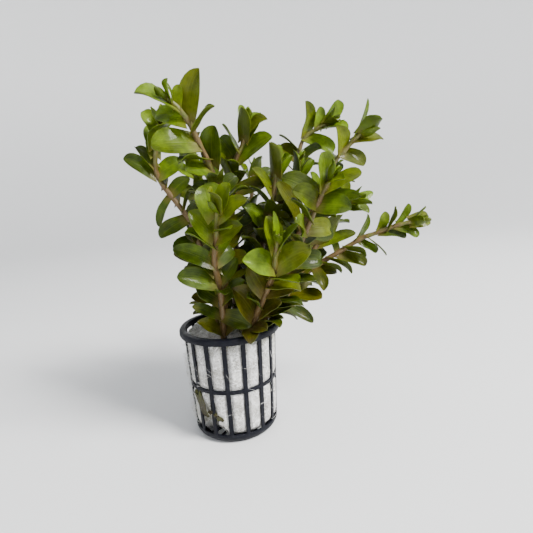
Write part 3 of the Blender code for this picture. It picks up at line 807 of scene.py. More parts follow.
class Solid:
    """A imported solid's corners and the edges between them, with equal corners merged."""

    MERGE = 2e-5

    def __init__(self, node: Piece) -> None:
        """Read a CAD node without touching it.

        Args:
            node: The node's object.
        """
        mesh = bmesh.new()
        mesh.from_mesh(node.data)
        bmesh.ops.remove_doubles(mesh, verts=mesh.verts, dist=self.MERGE)
        mesh.verts.index_update()
        self.points = [vertex.co.copy() for vertex in mesh.verts]
        self.links: list[set[int]] = [
            {edge.other_vert(vertex).index for edge in vertex.link_edges} for vertex in mesh.verts]
        mesh.free()

    def rings_from(self, start: int, depth: int, skip: Iterable[int] = ()) -> list[set[int]]:
        """The corners at each number of steps from one corner.

        Args:
            start: The first corner.
            depth: The most steps.
            skip: Corners that aren't entered.

        Returns:
            One set of corners for each step.
        """
        seen, ring, rings = {start, *skip}, {start}, []
        for _ in range(depth):
            ring = {near for corner in ring for near in self.links[corner]} - seen
            if not ring:
                break
            seen |= ring
            rings.append(ring)
        return rings

    def leaves(self) -> tuple[list[LeafCage], set[int]]:
        """The leaf cages of this solid.

        Returns:
            The cages, and all corners that belong to a blade and not to what it grows from.
        """
        cages, used = [], set()
        for corner, near in enumerate(self.links):
            rings = self.rings_from(corner, 3) if len(near) == 4 else []
            if [len(ring) for ring in rings] != [4, 4, 4]:
                continue
            cages.append(self.cage(corner, rings))
            used |= {corner}.union(*rings[:2])
        return cages, used

    def cage(self, tip: int, rings: list[set[int]]) -> LeafCage:
        """Sort one leaf's corners into edges and midribs, from the stem outwards."""
        ordered, side = [], None
        for ring in rings[:2]:
            corners = [self.points[index] for index in ring]
            pairs = [(corners[0], corners[k], *(corners[j] for j in (1, 2, 3) if j != k))
                     for k in (1, 2, 3)]
            pairs += [(third, fourth, first, second) for first, second, third, fourth in pairs]
            first, second, left, right = min(pairs, key=lambda p: (p[0] - p[1]).length)
            rise = (left + right - first - second) / 2
            upper, lower = (first, second) if rise.dot(first - second) > 0 else (second, first)
            if side and (left - right).dot(side) < 0:
                left, right = right, left
            side = left - right
            ordered.append((left, upper, right, lower))
        root = sum((self.points[index] for index in rings[2]), Vector()) / 4
        return LeafCage(root, ordered[::-1], self.points[tip])

    def tube(self, blades: set[int]) -> list[tuple[Vector, float]]:
        """The rings of a stem from its foot to its bud, without its leaves.

        Args:
            blades: The corners that belong to leaf blades.

        Returns:
            Each ring's middle and its radius; the bud's radius is 0.
        """
        best: list[set[int]] = []
        for corner, near in enumerate(self.links):
            if corner in blades or len(near - blades) != 6:
                continue
            rings = self.rings_from(corner, 99, blades)
            if all(len(ring) == 6 for ring in rings) and len(rings) > len(best):
                best, bud = rings, corner
        line = [(self.points[bud], 0.0)]
        for ring in best:
            middle = sum((self.points[index] for index in ring), Vector()) / 6
            radius = sum((self.points[index] - middle).length for index in ring) / 6
            line.append((middle, radius))
        return line[::-1]


# Leaves.


@dataclass
class BladeForm:
    """The master leaf blade: X runs along it, Y across it, and Z is 1 on top and -1 below.

    A pair of numbers is the least and the most of what each leaf draws for itself.
    """

    SLOPE_STEP = 0.01

    along: int = 8
    across: int = 4
    crowding: float = 1.55
    neck: float = 0.68
    neck_power: float = 1.9
    widest: float = 0.50
    widest_moves: Pair = (-0.10, 0.05)
    bluntness: float = 2.1
    bluntness_moves: Pair = (-0.55, 0.25)
    blunt_end: float = 0.10
    widths: Pair = (0.80, 0.98)
    folds: Pair = (1.0, 1.9)
    cups: Pair = (-0.2, 1.7)
    waves: Pair = (0.0, 0.0007)
    wave_counts: Pair = (5.0, 9.0)
    droops: Pair = (-0.0014, 0.0006)
    droop_start: float = 0.5
    thickness: float = 0.00036
    rim: float = 0.5
    tip_thinning: float = 0.45
    tip_ageing: float = 0.10
    clasp: float = 0.0020
    clasp_reach: float = 0.28
    foot: float = 0.12
    calms: tuple[float, ...] = (0.0, 0.35, 0.7, 1.0, 1.3)
    calm_narrowing: float = 0.28
    least_share: float = 0.6
    master: Piece = field(init=False)
    grid: np.ndarray = field(init=False)
    outer: Faces = field(init=False)

    def __post_init__(self) -> None:
        """Model the master once."""
        self.master = self.model()
        self.grid = np.array([vertex.co for vertex in self.master.data.vertices])
        self.outer = [tuple(face.vertices) for face in self.master.data.polygons
                      if min(self.grid[corner, 0] for corner in face.vertices) > self.foot]

    def model(self) -> Piece:
        """A closed plate of a few dozen faces, with its UV map.

        Returns:
            The master, which isn't shown itself.
        """
        deselect()
        bpy.ops.mesh.primitive_grid_add(x_subdivisions=self.along, y_subdivisions=self.across,
                                        size=1.0, location=(0.5, 0.0, 0.0))
        plate = bpy.context.object
        plate.name = "master_blade"
        bpy.ops.object.transform_apply(location=True, rotation=False, scale=False)
        bpy.ops.object.mode_set(mode="EDIT")
        bpy.ops.mesh.select_all(action="SELECT")
        bpy.ops.transform.resize(value=(1.0, 2.0, 1.0), center_override=(0, 0, 0))
        bpy.ops.transform.translate(value=(0, 0, -1.0))
        bpy.ops.mesh.extrude_region_move(TRANSFORM_OT_translate={"value": (0, 0, 2.0)})
        bpy.ops.mesh.select_all(action="SELECT")
        bpy.ops.mesh.normals_make_consistent(inside=False)
        bpy.ops.object.mode_set(mode="OBJECT")
        layer = plate.data.uv_layers[0]
        for loop in plate.data.loops:
            place = plate.data.vertices[loop.vertex_index].co
            layer.data[loop.index].uv = (place.x, 0.5 + place.y / 2)
        return plate

    def outline(self, part: np.ndarray, widest: float, bluntness: float) -> np.ndarray:
        """The half width at each part of the length, as a share of the widest.

        Args:
            part: Places along the leaf from 0 to 1.
            widest: Where the leaf is widest.
            bluntness: From 1, pointed, to 3, nearly square.

        Returns:
            The shares.
        """
        low = rise(part, widest, -widest)
        high = rise(part, widest, 1 - widest)
        swell = self.neck + (1 - self.neck) * (1 - low ** self.neck_power)
        taper = (1 - high ** bluntness) ** (1 / bluntness)
        return swell * np.maximum(taper, self.blunt_end)

    def bend(self, cage: LeafCage, chance: random.Random, calm: float) -> np.ndarray:
        """Lay the master's corners along a cage, as a cupped, folded and slightly wavy blade.

        Args:
            cage: The faceted leaf.
            chance: The leaf's own small differences.
            calm: From 0, with all its differences, to 1, narrower and close to its cage.

        Returns:
            The corners' places.
        """
        across, face = self.grid[:, 1], self.grid[:, 2]
        part = 1 - (1 - self.grid[:, 0]) ** self.crowding
        place, side, upper, heading = self.frames(cage, part)
        full = (cage.rings[0][0] - cage.rings[0][2]).length / SHARES[0]
        wild = max(0.0, 1 - calm)
        width = full / 2 * chance.uniform(*self.widths) * (1 - self.calm_narrowing * calm)
        width = width * self.outline(part, self.widest + chance.uniform(*self.widest_moves),
                                     self.bluntness + chance.uniform(*self.bluntness_moves))
        fold = chance.uniform(*self.folds)
        cup = 1 + wild * chance.uniform(*self.cups)
        cup = cup * LeafCage.CUP * part * width * np.abs(across) ** fold
        wave = wild * chance.uniform(*self.waves) * np.abs(across) * np.sin(
            part * chance.uniform(*self.wave_counts) + chance.uniform(0, math.tau) + across)
        droop = wild * chance.uniform(*self.droops) * rise(
            part, self.droop_start, 1 - self.droop_start) ** 2
        thick = self.thickness * (1 - (1 - self.rim) * across ** 2)
        thick = thick * (1 - self.tip_thinning * part)
        height = cup + wave + droop + thick * face
        hug = self.clasp * across ** 2 * np.clip(1 - part / self.clasp_reach, 0, 1)
        return (place + side * (width * across)[:, None] + upper * height[:, None]
                - heading * hug[:, None])

    def fit(self, corners: np.ndarray, root: np.ndarray, crowd: Crowd) -> np.ndarray:
        """Draw a leaf in towards its root where it would pass the box.

        Args:
            corners: The leaf's corners.
            root: Where it grows from.
            crowd: What holds the box.

        Returns:
            The corners, all inside the box.
        """
        reach = corners - root
        room = np.where(reach > 0, crowd.high, crowd.low) - root
        past = np.abs(reach) > np.abs(room)
        share = (room / np.where(past, reach, 1.0))[past].min() if past.any() else 1.0
        return np.clip(root + reach * max(share, self.least_share), crowd.low, crowd.high)

    def frames(self, cage: LeafCage, part: np.ndarray) -> tuple[np.ndarray, ...]:
        """The midline of a leaf and the ways across, up and along it.

        Args:
            cage: The faceted leaf.
            part: Places along the leaf from 0 to 1.

        Returns:
            One row of each for each place.
        """
        marks = np.array([0.0, *STATIONS, 1.0])
        middles = [(ring[1] + ring[3]) / 2 for ring in cage.rings]
        spine = np.array([cage.root, *middles, cage.tip])
        sides = np.array([(ring[0] - ring[2]).normalized() for ring in cage.rings])
        sides = sides[[0, 0, 1, 1]]
        heading = unit(smooth_line(marks, spine, part + self.SLOPE_STEP)
                       - smooth_line(marks, spine, part - self.SLOPE_STEP))
        side = np.stack([np.interp(part, marks, sides[:, axis]) for axis in range(3)], axis=1)
        side = unit(side - heading * (side * heading).sum(1)[:, None])
        upper = np.cross(side, heading)
        first = np.array(cage.rings[0][1] - cage.rings[0][3])
        upper *= np.sign(upper.mean(0) @ first)
        return smooth_line(marks, spine, part), side, upper, heading

    def blade(self, name: str, cage: LeafCage, age: float, chance: random.Random,
              crowd: Crowd, own: str = "") -> Piece:
        """One leaf: a copy of the master with its own mesh, bent to its cage and toned.

        It gets calmer until it cuts no other leaf and no other stem.

        Args:
            name: The object's name.
            cage: The faceted leaf.
            age: From 0, just out, to 1, spent.
            chance: The leaf's own small differences.
            crowd: What stands round it, and the box that it stays in.
            own: The solid of the stem that it grows from.

        Returns:
            The leaf.
        """
        start = chance.getstate()
        for calm in self.calms:
            chance.setstate(start)
            corners = self.fit(self.bend(cage, chance, calm), np.array(cage.root), crowd)
            if not crowd.cuts(corners, self.outer, own):
                break
        crowd.keep(corners, self.outer)
        leaf = show(name, self.master.data.copy())
        leaf.data.vertices.foreach_set("co", corners.ravel())
        ages = age + self.tip_ageing * self.grid[:, 0] - self.tip_ageing / 2
        write_tone(leaf, "leaf_tone", np.clip(ages, 0, 1), chance.random(), self.grid[:, 2] < 0)
        return leaf


# Shoots.


@dataclass(frozen=True)
class YoungPair:
    """A pair of young leaves: how far under the tip they sit, their size and their lean."""

    below: float
    length: float
    width: float
    lift: float


@dataclass
class Shoot:
    """One stem with its leaf pairs, dressed from its solids."""

    BUD = (YoungPair(0.0042, 0.0085, 0.0048, 34), YoungPair(0.0022, 0.0062, 0.0034, 22),
           YoungPair(0.0006, 0.0038, 0.0021, 9))
    BUD_SIZES = (1.0, 0.75)
    BUD_TURNS = (0, 12, -12, 25, -25, 40, -40)
    BUD_CURL = -22
    SIDE_SIZES = ((0.0135, 0.0082, 62), (0.0110, 0.0068, 54), (0.0085, 0.0052, 48),
                  (0.0065, 0.0042, 40))
    SIDE_TURNS = range(0, 180, 20)
    SIDE_CURL = 26

    name: str
    pairs: list[str]
    blades: BladeForm
    crowd: Crowd
    stem_material: bpy.types.Material
    leaf_material: bpy.types.Material
    nodes: dict[str, Piece]
    ages: dict[str, Season]
    set_moves: Pair = (-0.06, 0.06)
    age_moves: Pair = (-0.10, 0.12)
    youngest: float = 0.08
    oldest: float = 0.70
    ageing: float = 0.5
    ageing_length: float = 0.060
    ring_step: float = 0.0011
    sides: int = 5
    leaf_inset: float = 0.0011
    root_share: float = 0.5
    fullness: float = 0.97
    slimming: float = 0.24
    slim_from: float = 0.35
    swelling: float = 0.00014
    swell_core: float = 0.0012
    swell_reach: float = 0.0016
    bare_tip: float = 0.009
    tip_radius: float = 0.00035
    tip_growth: float = 0.0009
    tip_power: float = 0.6
    bare_foot: float = 0.0535
    side_gap: float = 0.0040
    softening: int = 6
    weld: float = 1e-6
    line: list[tuple[Vector, float]] = field(init=False)
    marks: np.ndarray = field(init=False)
    path: np.ndarray = field(init=False)
    along: np.ndarray = field(init=False)
    whorls: list[Vector] = field(init=False, default_factory=list)

    def dress(self) -> None:
        """Build the stem, its young leaves and each of its leaf pairs."""
        solid = Solid(self.nodes[f"stem_{self.name}"])
        cages, blades = solid.leaves()
        self.line = solid.tube(blades)
        self.trace()
        self.whorls = [cage.root for cage in cages]
        for pair in self.pairs:
            self.dress_pair(pair)
        cages += self.bud_leaves()
        cages += self.side_leaves()
        self.dress_stem()
        self.dress_leaves(f"young_leaves_{self.name}", cages, f"stem_{self.name}")

    def trace(self) -> None:
        """Lay a smooth path of close steps through the middles of the stem's rings."""
        points = np.array([point for point, _ in self.line])
        lengths = np.linalg.norm(np.diff(points, axis=0), axis=1)
        self.marks = np.concatenate([[0], np.cumsum(lengths)])
        self.along = np.linspace(0, self.marks[-1], int(self.marks[-1] / self.ring_step))
        self.path = smooth_line(self.marks, points, self.along)
        for _ in range(self.softening):
            self.path[1:-1] = (self.path[:-2] + 2 * self.path[1:-1] + self.path[2:]) / 4

    def heading(self, index: int) -> Vector:
        """The way the stem grows at a step of its path."""
        last = len(self.path) - 1
        step = self.path[min(index + 1, last)] - self.path[max(index - 1, 0)]
        return Vector(step).normalized()

    def nearest(self, place: Vector) -> int:
        """The step of the path that is nearest to a place."""
        return int(np.argmin(((self.path - np.array(place)) ** 2).sum(1)))

    def age_of(self, node: str, place: Vector, chance: random.Random) -> float:
        """A leaf's age: set for some pairs, and otherwise less towards the tip."""
        if node in self.ages:
            return self.ages[node].value + chance.uniform(*self.set_moves)
        gap = self.along[-1] - self.along[self.nearest(place)]
        grown = self.youngest + gap / self.ageing_length * self.ageing
        return min(self.oldest, grown) + chance.uniform(*self.age_moves)

    def bud_leaves(self) -> list[LeafCage]:
        """The crossed pairs of small leaves that close over the tip, where there is room."""
        cages: list[LeafCage] = []
        turn = random.Random(f"bud {self.name}").uniform(0, math.pi)
        for number, pair in enumerate(self.BUD):
            index = int(np.searchsorted(self.along, self.along[-1] - pair.below)) - 1
            sizes = [(pair.length * size, pair.width * size, pair.lift)
                     for size in self.BUD_SIZES]
            cages += self.opposite(index, turn + number * math.pi / 2, sizes, self.BUD_TURNS,
                                   self.BUD_CURL)
        return cages

    def side_leaves(self) -> list[LeafCage]:
        """Smaller pairs on the bare stretches between the solids' whorls, where there is room."""
        chance = random.Random(f"side {self.name}")
        cages: list[LeafCage] = []
        for index in range(len(self.path)):
            place = Vector(self.path[index])
            clear = all((place - whorl).length > self.side_gap for whorl in self.whorls)
            if place.z < self.bare_foot or not clear or (
                    self.along[-1] - self.along[index] < self.bare_tip):
                continue
            found = self.opposite(index, chance.uniform(0, math.tau), self.SIDE_SIZES,
                                  self.SIDE_TURNS, self.SIDE_CURL)
            if found:
                self.whorls.append(place)
                cages += found
        return cages

    def opposite(self, index: int, turn: float, sizes: Sequence[Triple],
                 asides: Sequence[int], curl: float) -> list[LeafCage]:
        """Two opposite leaves at a step of the path, each left out where it has no room.

        Args:
            index: The step of the path.
            turn: The first leaf's turn about the stem, in radians.
            sizes: The lengths, widths and leans in degrees to try, the largest first.
            asides: The turns aside to try, in degrees.
            curl: How much further the leaves lean at their tips, in degrees.

        Returns:
            The cages of the leaves that have room, at the first size that takes any.
        """
        axis, root = self.heading(index), Vector(self.path[index])
        across = axis.orthogonal().normalized()
        for length, width, lift in sizes:
            for aside in asides:
                found = []
                for half in (0.0, math.pi):
                    spin = Matrix.Rotation(turn + half + math.radians(aside), 3, axis)
                    outward = spin @ across
                    cage = LeafCage.grown(root + outward * self.leaf_inset, axis, outward,
                                          length, width, math.radians(lift), math.radians(curl))
                    if self.crowd.takes(cage):
                        found.append(cage)
                for cage in found:
                    self.crowd.add(f"{self.name} {index} {len(self.crowd.trees)}", cage)
                if found:
                    return found
        return []

    def dress_leaves(self, name: str, cages: list[LeafCage], *nodes: str) -> None:
        """Build blades on cages, rooted under the stem's skin, and join them into one piece.

        Args:
            name: The piece's name.
            cages: The faceted leaves.
            nodes: The solids that the piece stands for.
        """
        for cage in cages:
            heart = Vector(self.path[self.nearest(cage.root)])
            cage.root = cage.root.lerp(heart, self.root_share)
        leaves = []
        for number, cage in enumerate(cages):
            chance = random.Random(f"{name} {number}")
            age = self.age_of(nodes[0], cage.root, chance)
            leaves.append(self.blades.blade(f"{name}_{number}", cage, age, chance, self.crowd,
                                            f"stem_{self.name}"))
        complete(join(leaves, name), self.leaf_material, 60.0, Slot.LEAF, *nodes)

    def dress_pair(self, node: str) -> None:
        """Build one full-grown pair; where it clasps the stem, the stem is swollen."""
        solid = Solid(self.nodes[node])
        cages, blades = solid.leaves()
        ring = [point for index, point in enumerate(solid.points) if index not in blades]
        self.whorls.append(sum(ring, Vector()) / len(ring))
        self.dress_leaves(f"leaf_pair_{node.removeprefix('leaves_')}", cages, node)

    def thickness(self) -> np.ndarray:
        """The stem's radius at each step of its path.

        Returns:
            The radii: slimmer and rounded towards the tip, and swollen at each whorl.
        """
        radii = np.array([radius for _, radius in self.line])
        radii[-1] = radii[-2]
        thick = np.interp(self.along, self.marks, radii) * (self.fullness - self.slimming * rise(
            self.along / self.along[-1], self.slim_from, 1 - self.slim_from))
        for whorl in self.whorls:
            away = np.linalg.norm(self.path - np.array(whorl), axis=1)
            thick += self.swelling * np.exp(-(away.clip(self.swell_core) - self.swell_core) ** 2
                                            / (2 * (self.swell_reach / 2) ** 2))
        to_tip = (self.along[-1] - self.along) / self.bare_tip
        return np.minimum(thick, self.tip_radius + self.tip_growth * to_tip ** self.tip_power)

    def dress_stem(self) -> None:
        """Draw the stem as a round curve along its path, toned by the way up it."""
        curve = bpy.data.curves.new("stem", "CURVE")
        curve.dimensions = "3D"
        curve.bevel_depth = 1.0
        curve.bevel_resolution = self.sides
        curve.use_fill_caps = True
        spline = curve.splines.new("POLY")
        spline.points.add(len(self.path) - 1)
        for knot, place, radius in zip(spline.points, self.path, self.thickness()):
            knot.co = (*place, 1.0)
            knot.radius = radius
        activate(show(f"shoot_{self.name}", curve))
        bpy.ops.object.convert(target="MESH")
        stem = bpy.context.object
        bpy.ops.object.mode_set(mode="EDIT")
        bpy.ops.mesh.select_all(action="SELECT")
        bpy.ops.mesh.remove_doubles(threshold=self.weld)
        bpy.ops.mesh.normals_make_consistent(inside=False)
        bpy.ops.object.mode_set(mode="OBJECT")
        steps = np.array([self.nearest(vertex.co) for vertex in stem.data.vertices])
        write_tone(stem, "stem_tone", steps / (len(self.path) - 1))
        complete(stem, self.stem_material, 50.0, Slot.STEM, f"stem_{self.name}")


# Pot.


@dataclass
class NetPot:
    """The slotted pot: a turned shell with ribs, one middle ring and a turned-down rim."""

    ribs: int = 16
    columns_per_rib: int = 8
    phase: float = math.radians(-3)
    wall: float = 0.0009
    foot: float = 0.0209
    mouth: float = 0.0229
    rim: float = 0.025
    height: float = 0.054
    rim_depth: float = 0.0028
    ring_low: float = 0.0260
    ring_high: float = 0.0279
    window_foot: float = 0.0046
    window_head: float = 0.051
    slot_inner: float = 0.010
    slot_outer: float = 0.016
    foot_flat: float = 0.0178
    edge: float = 0.00022

    def body(self, height: float) -> float:
        """The wall's outer radius at a height."""
        return self.foot + (self.mouth - self.foot) * height / self.window_head

    def profile(self) -> list[tuple[float, float]]:
        """The pot's outer line, from near the foot's centre to the rim's lower edge."""
        shoulder = self.height - self.wall
        skirt = self.rim - self.wall
        return [
            (0.004, 0.0), (self.slot_inner, 0.0), (self.slot_outer, 0.0), (self.foot_flat, 0.0),
            (self.foot_flat + 0.45 * (self.foot - self.foot_flat), 0.0004),
            (self.foot_flat + 0.8 * (self.foot - self.foot_flat), 0.0014),
            (self.body(0.0028), 0.0028),
            (self.body(self.window_foot), self.window_foot),
            (self.body(self.ring_low), self.ring_low),
            (self.body(self.ring_high), self.ring_high),
            (self.body(self.window_head), self.window_head),
            (self.body(self.window_head), shoulder),
            (skirt - 0.0002, shoulder), (skirt, shoulder - 0.0003),
            (skirt, self.height - self.rim_depth),
        ]

    def dress(self, material: bpy.types.Material) -> None:
        """Turn the shell, open its windows, and give it its wall and soft edges.

        Args:
            material: The pot's finish.
        """
        pot = turned("pot_basket", self.ribs * self.columns_per_rib, self.profile())
        pot.data.transform(Matrix.Rotation(self.phase - math.pi / 2, 4, "Z"))
        self.open_windows(pot)
        if pot.data.polygons[0].normal.z > 0:
            pot.data.flip_normals()
        wall = pot.modifiers.new("wall", "SOLIDIFY")
        wall.thickness = self.wall
        wall.offset = -1
        wall.use_even_offset = True
        soft = pot.modifiers.new("edges", "BEVEL")
        soft.width = self.edge
        soft.segments = 2
        soft.angle_limit = math.radians(40)
        apply_modifiers(pot)
        complete(pot, material, 40.0, Slot.POT, "net_pot")

    def open_windows(self, pot: Piece) -> None:
        """Delete the faces of the wall's windows and the foot's slots.

        Args:
            pot: The turned shell.
        """
        share = math.tau / self.ribs
        rib = share / self.columns_per_rib
        activate(pot)
        bpy.ops.object.mode_set(mode="EDIT")
        bpy.ops.mesh.select_all(action="DESELECT")
        bpy.ops.mesh.select_mode(type="FACE")
        mesh = bmesh.from_edit_mesh(pot.data)
        for face in mesh.faces:
            middle = face.calc_center_median()
            angle = (math.atan2(middle.x, -middle.y) - self.phase) % share
            between = rib < angle < share - rib
            radius = middle.xy.length
            slot = self.slot_inner < radius < self.slot_outer and middle.z < 0.0002
            window = radius < self.mouth and (
                self.window_foot < middle.z < self.ring_low
                or self.ring_high < middle.z < self.window_head)
            face.select = between and (slot or window)
        bmesh.update_edit_mesh(pot.data)
        bpy.ops.mesh.delete(type="FACE")
        bpy.ops.object.mode_set(mode="OBJECT")


# Wool.


@dataclass
class RockWool:
    """The plug of rock wool: a felted body that swells into the pot's windows.

    A pair named after a place is where a change starts and over which span it is made, and other
    pairs are the least and the most of what each fibre draws for itself.
    """

    WAVES = ((7, 260, 0.0, 1.0), (13, -410, 1.3, 1.0), (23, 700, 0.4, 0.6))

    pot: NetPot
    columns: int = 128
    top: float = 0.0495
    shift: float = 0.00015
    bulge: float = 0.0011
    lumps: float = 0.00012
    crown_lumps: float = 0.00045
    rib_edge: Pair = (0.18, 0.4)
    pane_edge: float = 0.0015
    inner_edge: Pair = (0.017, 0.002)
    upper_edge: Pair = (0.0505, -0.002)
    crown_edge: Pair = (0.0485, 0.0008)
    bite: float = 0.0075
    bite_turn: float = -31.0
    bite_sides: Pair = (22.0, -6.0)
    bite_top: float = 0.0135
    bite_slope: Triple = (-37.0, 22.0, 0.0045)
    bite_edge: float = 0.0018
    stain: Triple = (-0.013, 0.014, 0.006)
    rings: tuple[tuple[float, float], ...] = (
        (0.0150, 0.0014), (0.0178, 0.0030), (0.0192, 0.0055), (0.0199, 0.0080),
        (0.0202, 0.0120), (0.0204, 0.0170), (0.0206, 0.0220), (0.0208, 0.0255),
        (0.0208, 0.0284), (0.0210, 0.0320), (0.0212, 0.0370), (0.0213, 0.0420),
        (0.0214, 0.0460), (0.0215, 0.0486), (0.0214, 0.0508), (0.0206, 0.0516),
        (0.0194, 0.0511), (0.0180, 0.0502), (0.0160, 0.0498),
        (0.0130, 0.0496), (0.0100, 0.0495), (0.0070, 0.0495), (0.0040, 0.0496),
        (0.0010, 0.0496))
    side_rings: int = 13
    fibre_count: int = 1500
    fibre_radius: float = 0.00008
    stray_count: int = 700
    stray_reach: float = 0.0024
    frayed_count: int = 420
    frayed_side: tuple[float, float] = (-1.42, 0.32)
    frayed_radius: float = 1.3
    taper: float = 0.8
    heights: Pair = (0.004, 0.0492)
    side_heights: Pair = (0.003, 0.0480)
    leans: Pair = (-1.2, 1.2)
    curls: Pair = (-0.5, 0.5)
    lengths: Pair = (0.002, 0.006)
    stray_length: float = 1.5
    crown_share: float = 0.35
    reaches: Pair = (0.004, 0.018)
    crown_arch: float = 0.0004
    steps: int = 4

    def dress(self, material: bpy.types.Material) -> None:
        """Turn the plug, swell it, roughen it and lay loose fibres on it.

        Args:
            material: The wool's finish.
        """
        plug = turned("wool_plug", self.columns, self.rings, True)
        fine = plug.modifiers.new("fine", "SUBSURF")
        fine.levels = fine.render_levels = 1
        apply_modifiers(plug)
        self.roughen(plug)
        plug = join([plug, self.fibres()], "wool_plug")
        complete(plug, material, 80.0, Slot.WOOL, "rock_wool_plug")

    def surface(self, angle: np.ndarray, radius: np.ndarray, height: np.ndarray) -> np.ndarray:
        """How far the wool stands out at a place, from its swelling and its lumps.

        Args:
            angle: The turn about the pot's axis from the front, in radians.
            radius: The distance from the axis.
            height: The height.

        Returns:
            The added radius.
        """
        phase = (angle - self.pot.phase) * self.pot.ribs
        window = rise(0.5 - 0.5 * np.cos(phase), *self.rib_edge)
        panes = np.zeros_like(window)
        for low, high in ((self.pot.ring_high, self.pot.window_head),
                          (self.pot.window_foot, self.pot.ring_low)):
            panes = np.maximum(panes, rise(height, low, self.pane_edge)
                               * rise(height, high, -self.pane_edge))
        side = rise(radius, *self.inner_edge) * rise(height, *self.upper_edge)
        lumps = sum(share * np.sin(count * angle + rate * height + start)
                    for count, rate, start, share in self.WAVES)
        lumps = lumps / sum(wave[-1] for wave in self.WAVES)
        out = self.bulge * (window * panes) + self.lumps * (lumps - 1)
        return side * out - self.hollow(angle, height)

    def hollow(self, angle: np.ndarray, height: np.ndarray) -> np.ndarray:
        """How far the wool falls short at the plug's lower front left corner."""
        turn = np.degrees(angle)
        span = rise(np.abs(turn - self.bite_turn), *self.bite_sides)
        crest, run, fall = self.bite_slope
        top = self.bite_top - (turn - crest) / run * fall
        return self.bite * span * rise(height, top, -self.bite_edge)

    def roughen(self, plug: Piece) -> None:
        """Swell the plug between the ribs and raise lumps on its crown.

        Args:
            plug: The turned plug.
        """
        corners = np.array([vertex.co for vertex in plug.data.vertices])
        angle = np.arctan2(corners[:, 0], -corners[:, 1])
        radius = np.hypot(corners[:, 0], corners[:, 1])
        grown = radius + self.surface(angle, radius, corners[:, 2])
        corners[:, :2] *= (grown / np.maximum(radius, 1e-9))[:, None]
        x, y = corners[:, 0], corners[:, 1]
        corners[:, 2] += rise(corners[:, 2], *self.crown_edge) * self.crown_lumps * (
            np.sin(520 * x + 1.1) * np.sin(470 * y + 0.4) + 0.5 * np.sin(1100 * x - 900 * y))
        corners[:, 0] += self.shift
        plug.data.vertices.foreach_set("co", corners.ravel())
        self.tone(plug, corners)

    def tone(self, piece: Piece, corners: np.ndarray) -> None:
        """Write how wet and stained the wool is at each corner."""
        wet = rise(corners[:, 2], 0.046, 0.004) * np.clip((corners[:, 0] + 0.004) / 0.02, 0.12, 1)
        x, z, reach = self.stain
        low = np.exp(-(((corners[:, 0] - x) / reach) ** 2
                       + ((corners[:, 2] - z) / reach) ** 2)) * (corners[:, 1] < 0)
        write_tone(piece, "wool_tone", np.clip(0.75 * wet + 0.8 * low, 0, 1))

    def fibres(self) -> Piece:
        """Loose fibres that lie on the wool's sides and crown.

        Returns:
            One object with all fibres.
        """
        chance = random.Random(7)
        points: list[Vector] = []
        faces: Faces = []
        for number in range(self.fibre_count):
            stray = self.stray_reach if number < self.stray_count else 0.0
            angle = chance.uniform(-math.pi, math.pi)
            if number < self.frayed_count:
                angle = chance.gauss(*self.frayed_side)
            self.add_fibre(chance, angle, stray, points, faces)
        data = bpy.data.meshes.new("fibres")
        data.from_pydata([tuple(point) for point in points], [], faces)
        piece = show("fibres", data)
        self.tone(piece, np.array(points))
        return piece

    def add_fibre(self, chance: random.Random, angle: float, stray: float,
                  points: list[Vector], faces: Faces) -> None:
        """Add one three-sided fibre that follows the wool's surface or loops out from it.

        Args:
            chance: How high it lies and how it curls.
            angle: Where it lies round the pot, from the front.
            stray: The most that it loops out, 0 where it lies flat.
            points: All fibres' corners so far.
            faces: All fibres' faces so far.
        """
        height = chance.uniform(*self.heights)
        lean = chance.uniform(*self.leans)
        curl = chance.uniform(*self.curls)
        length = chance.uniform(*self.lengths) + self.stray_length * stray
        crown = chance.random() < self.crown_share
        loop = stray * chance.random()
        reach = chance.uniform(*self.reaches)
        start = len(points)
        for step in range(self.steps + 1):
            part = step / self.steps - 0.5
            turn = lean + curl * part * 2
            shift, climb = part * length * math.cos(turn), part * length * math.sin(turn)
            if crown:
                arch = (self.crown_arch + loop) * math.cos(part * 3.0)
                place = Vector((reach * math.sin(angle) + shift, -reach * math.cos(angle) + climb,
                                self.top + self.crown_arch / 2 + arch))
                out = Vector((0, 0, 1))
                across = Vector((-math.sin(turn), math.cos(turn), 0))
            else:
                high = float(np.clip(height + climb, *self.side_heights))
                radii, rises = zip(*self.rings[:self.side_rings])
                wide = float(np.interp(high, rises, radii))
                here = angle + shift / wide
                wide += float(self.surface(np.array([here]), np.array([wide]),
                                           np.array([high]))[0]) + self.fibre_radius
                wide += loop * math.cos(part * math.pi)
                out = Vector((math.sin(here), -math.cos(here), 0))
                place = out * wide + Vector((0, 0, high))
                up = Vector((0, 0, 1))
                across = up * math.cos(turn) - out.cross(up) * math.sin(turn)
            radius = self.fibre_radius * (self.frayed_radius if stray else 1.0) * (
                1 - self.taper * abs(part) * 2)
            points += [place + across * radius, place - across * radius, place + out * radius]
            if step:
                base = start + 3 * (step - 1)
                faces += [(base + side, base + other, base + 3 + other, base + 3 + side)
                          for side, other in ((0, 1), (1, 2), (2, 0))]


# Litter.


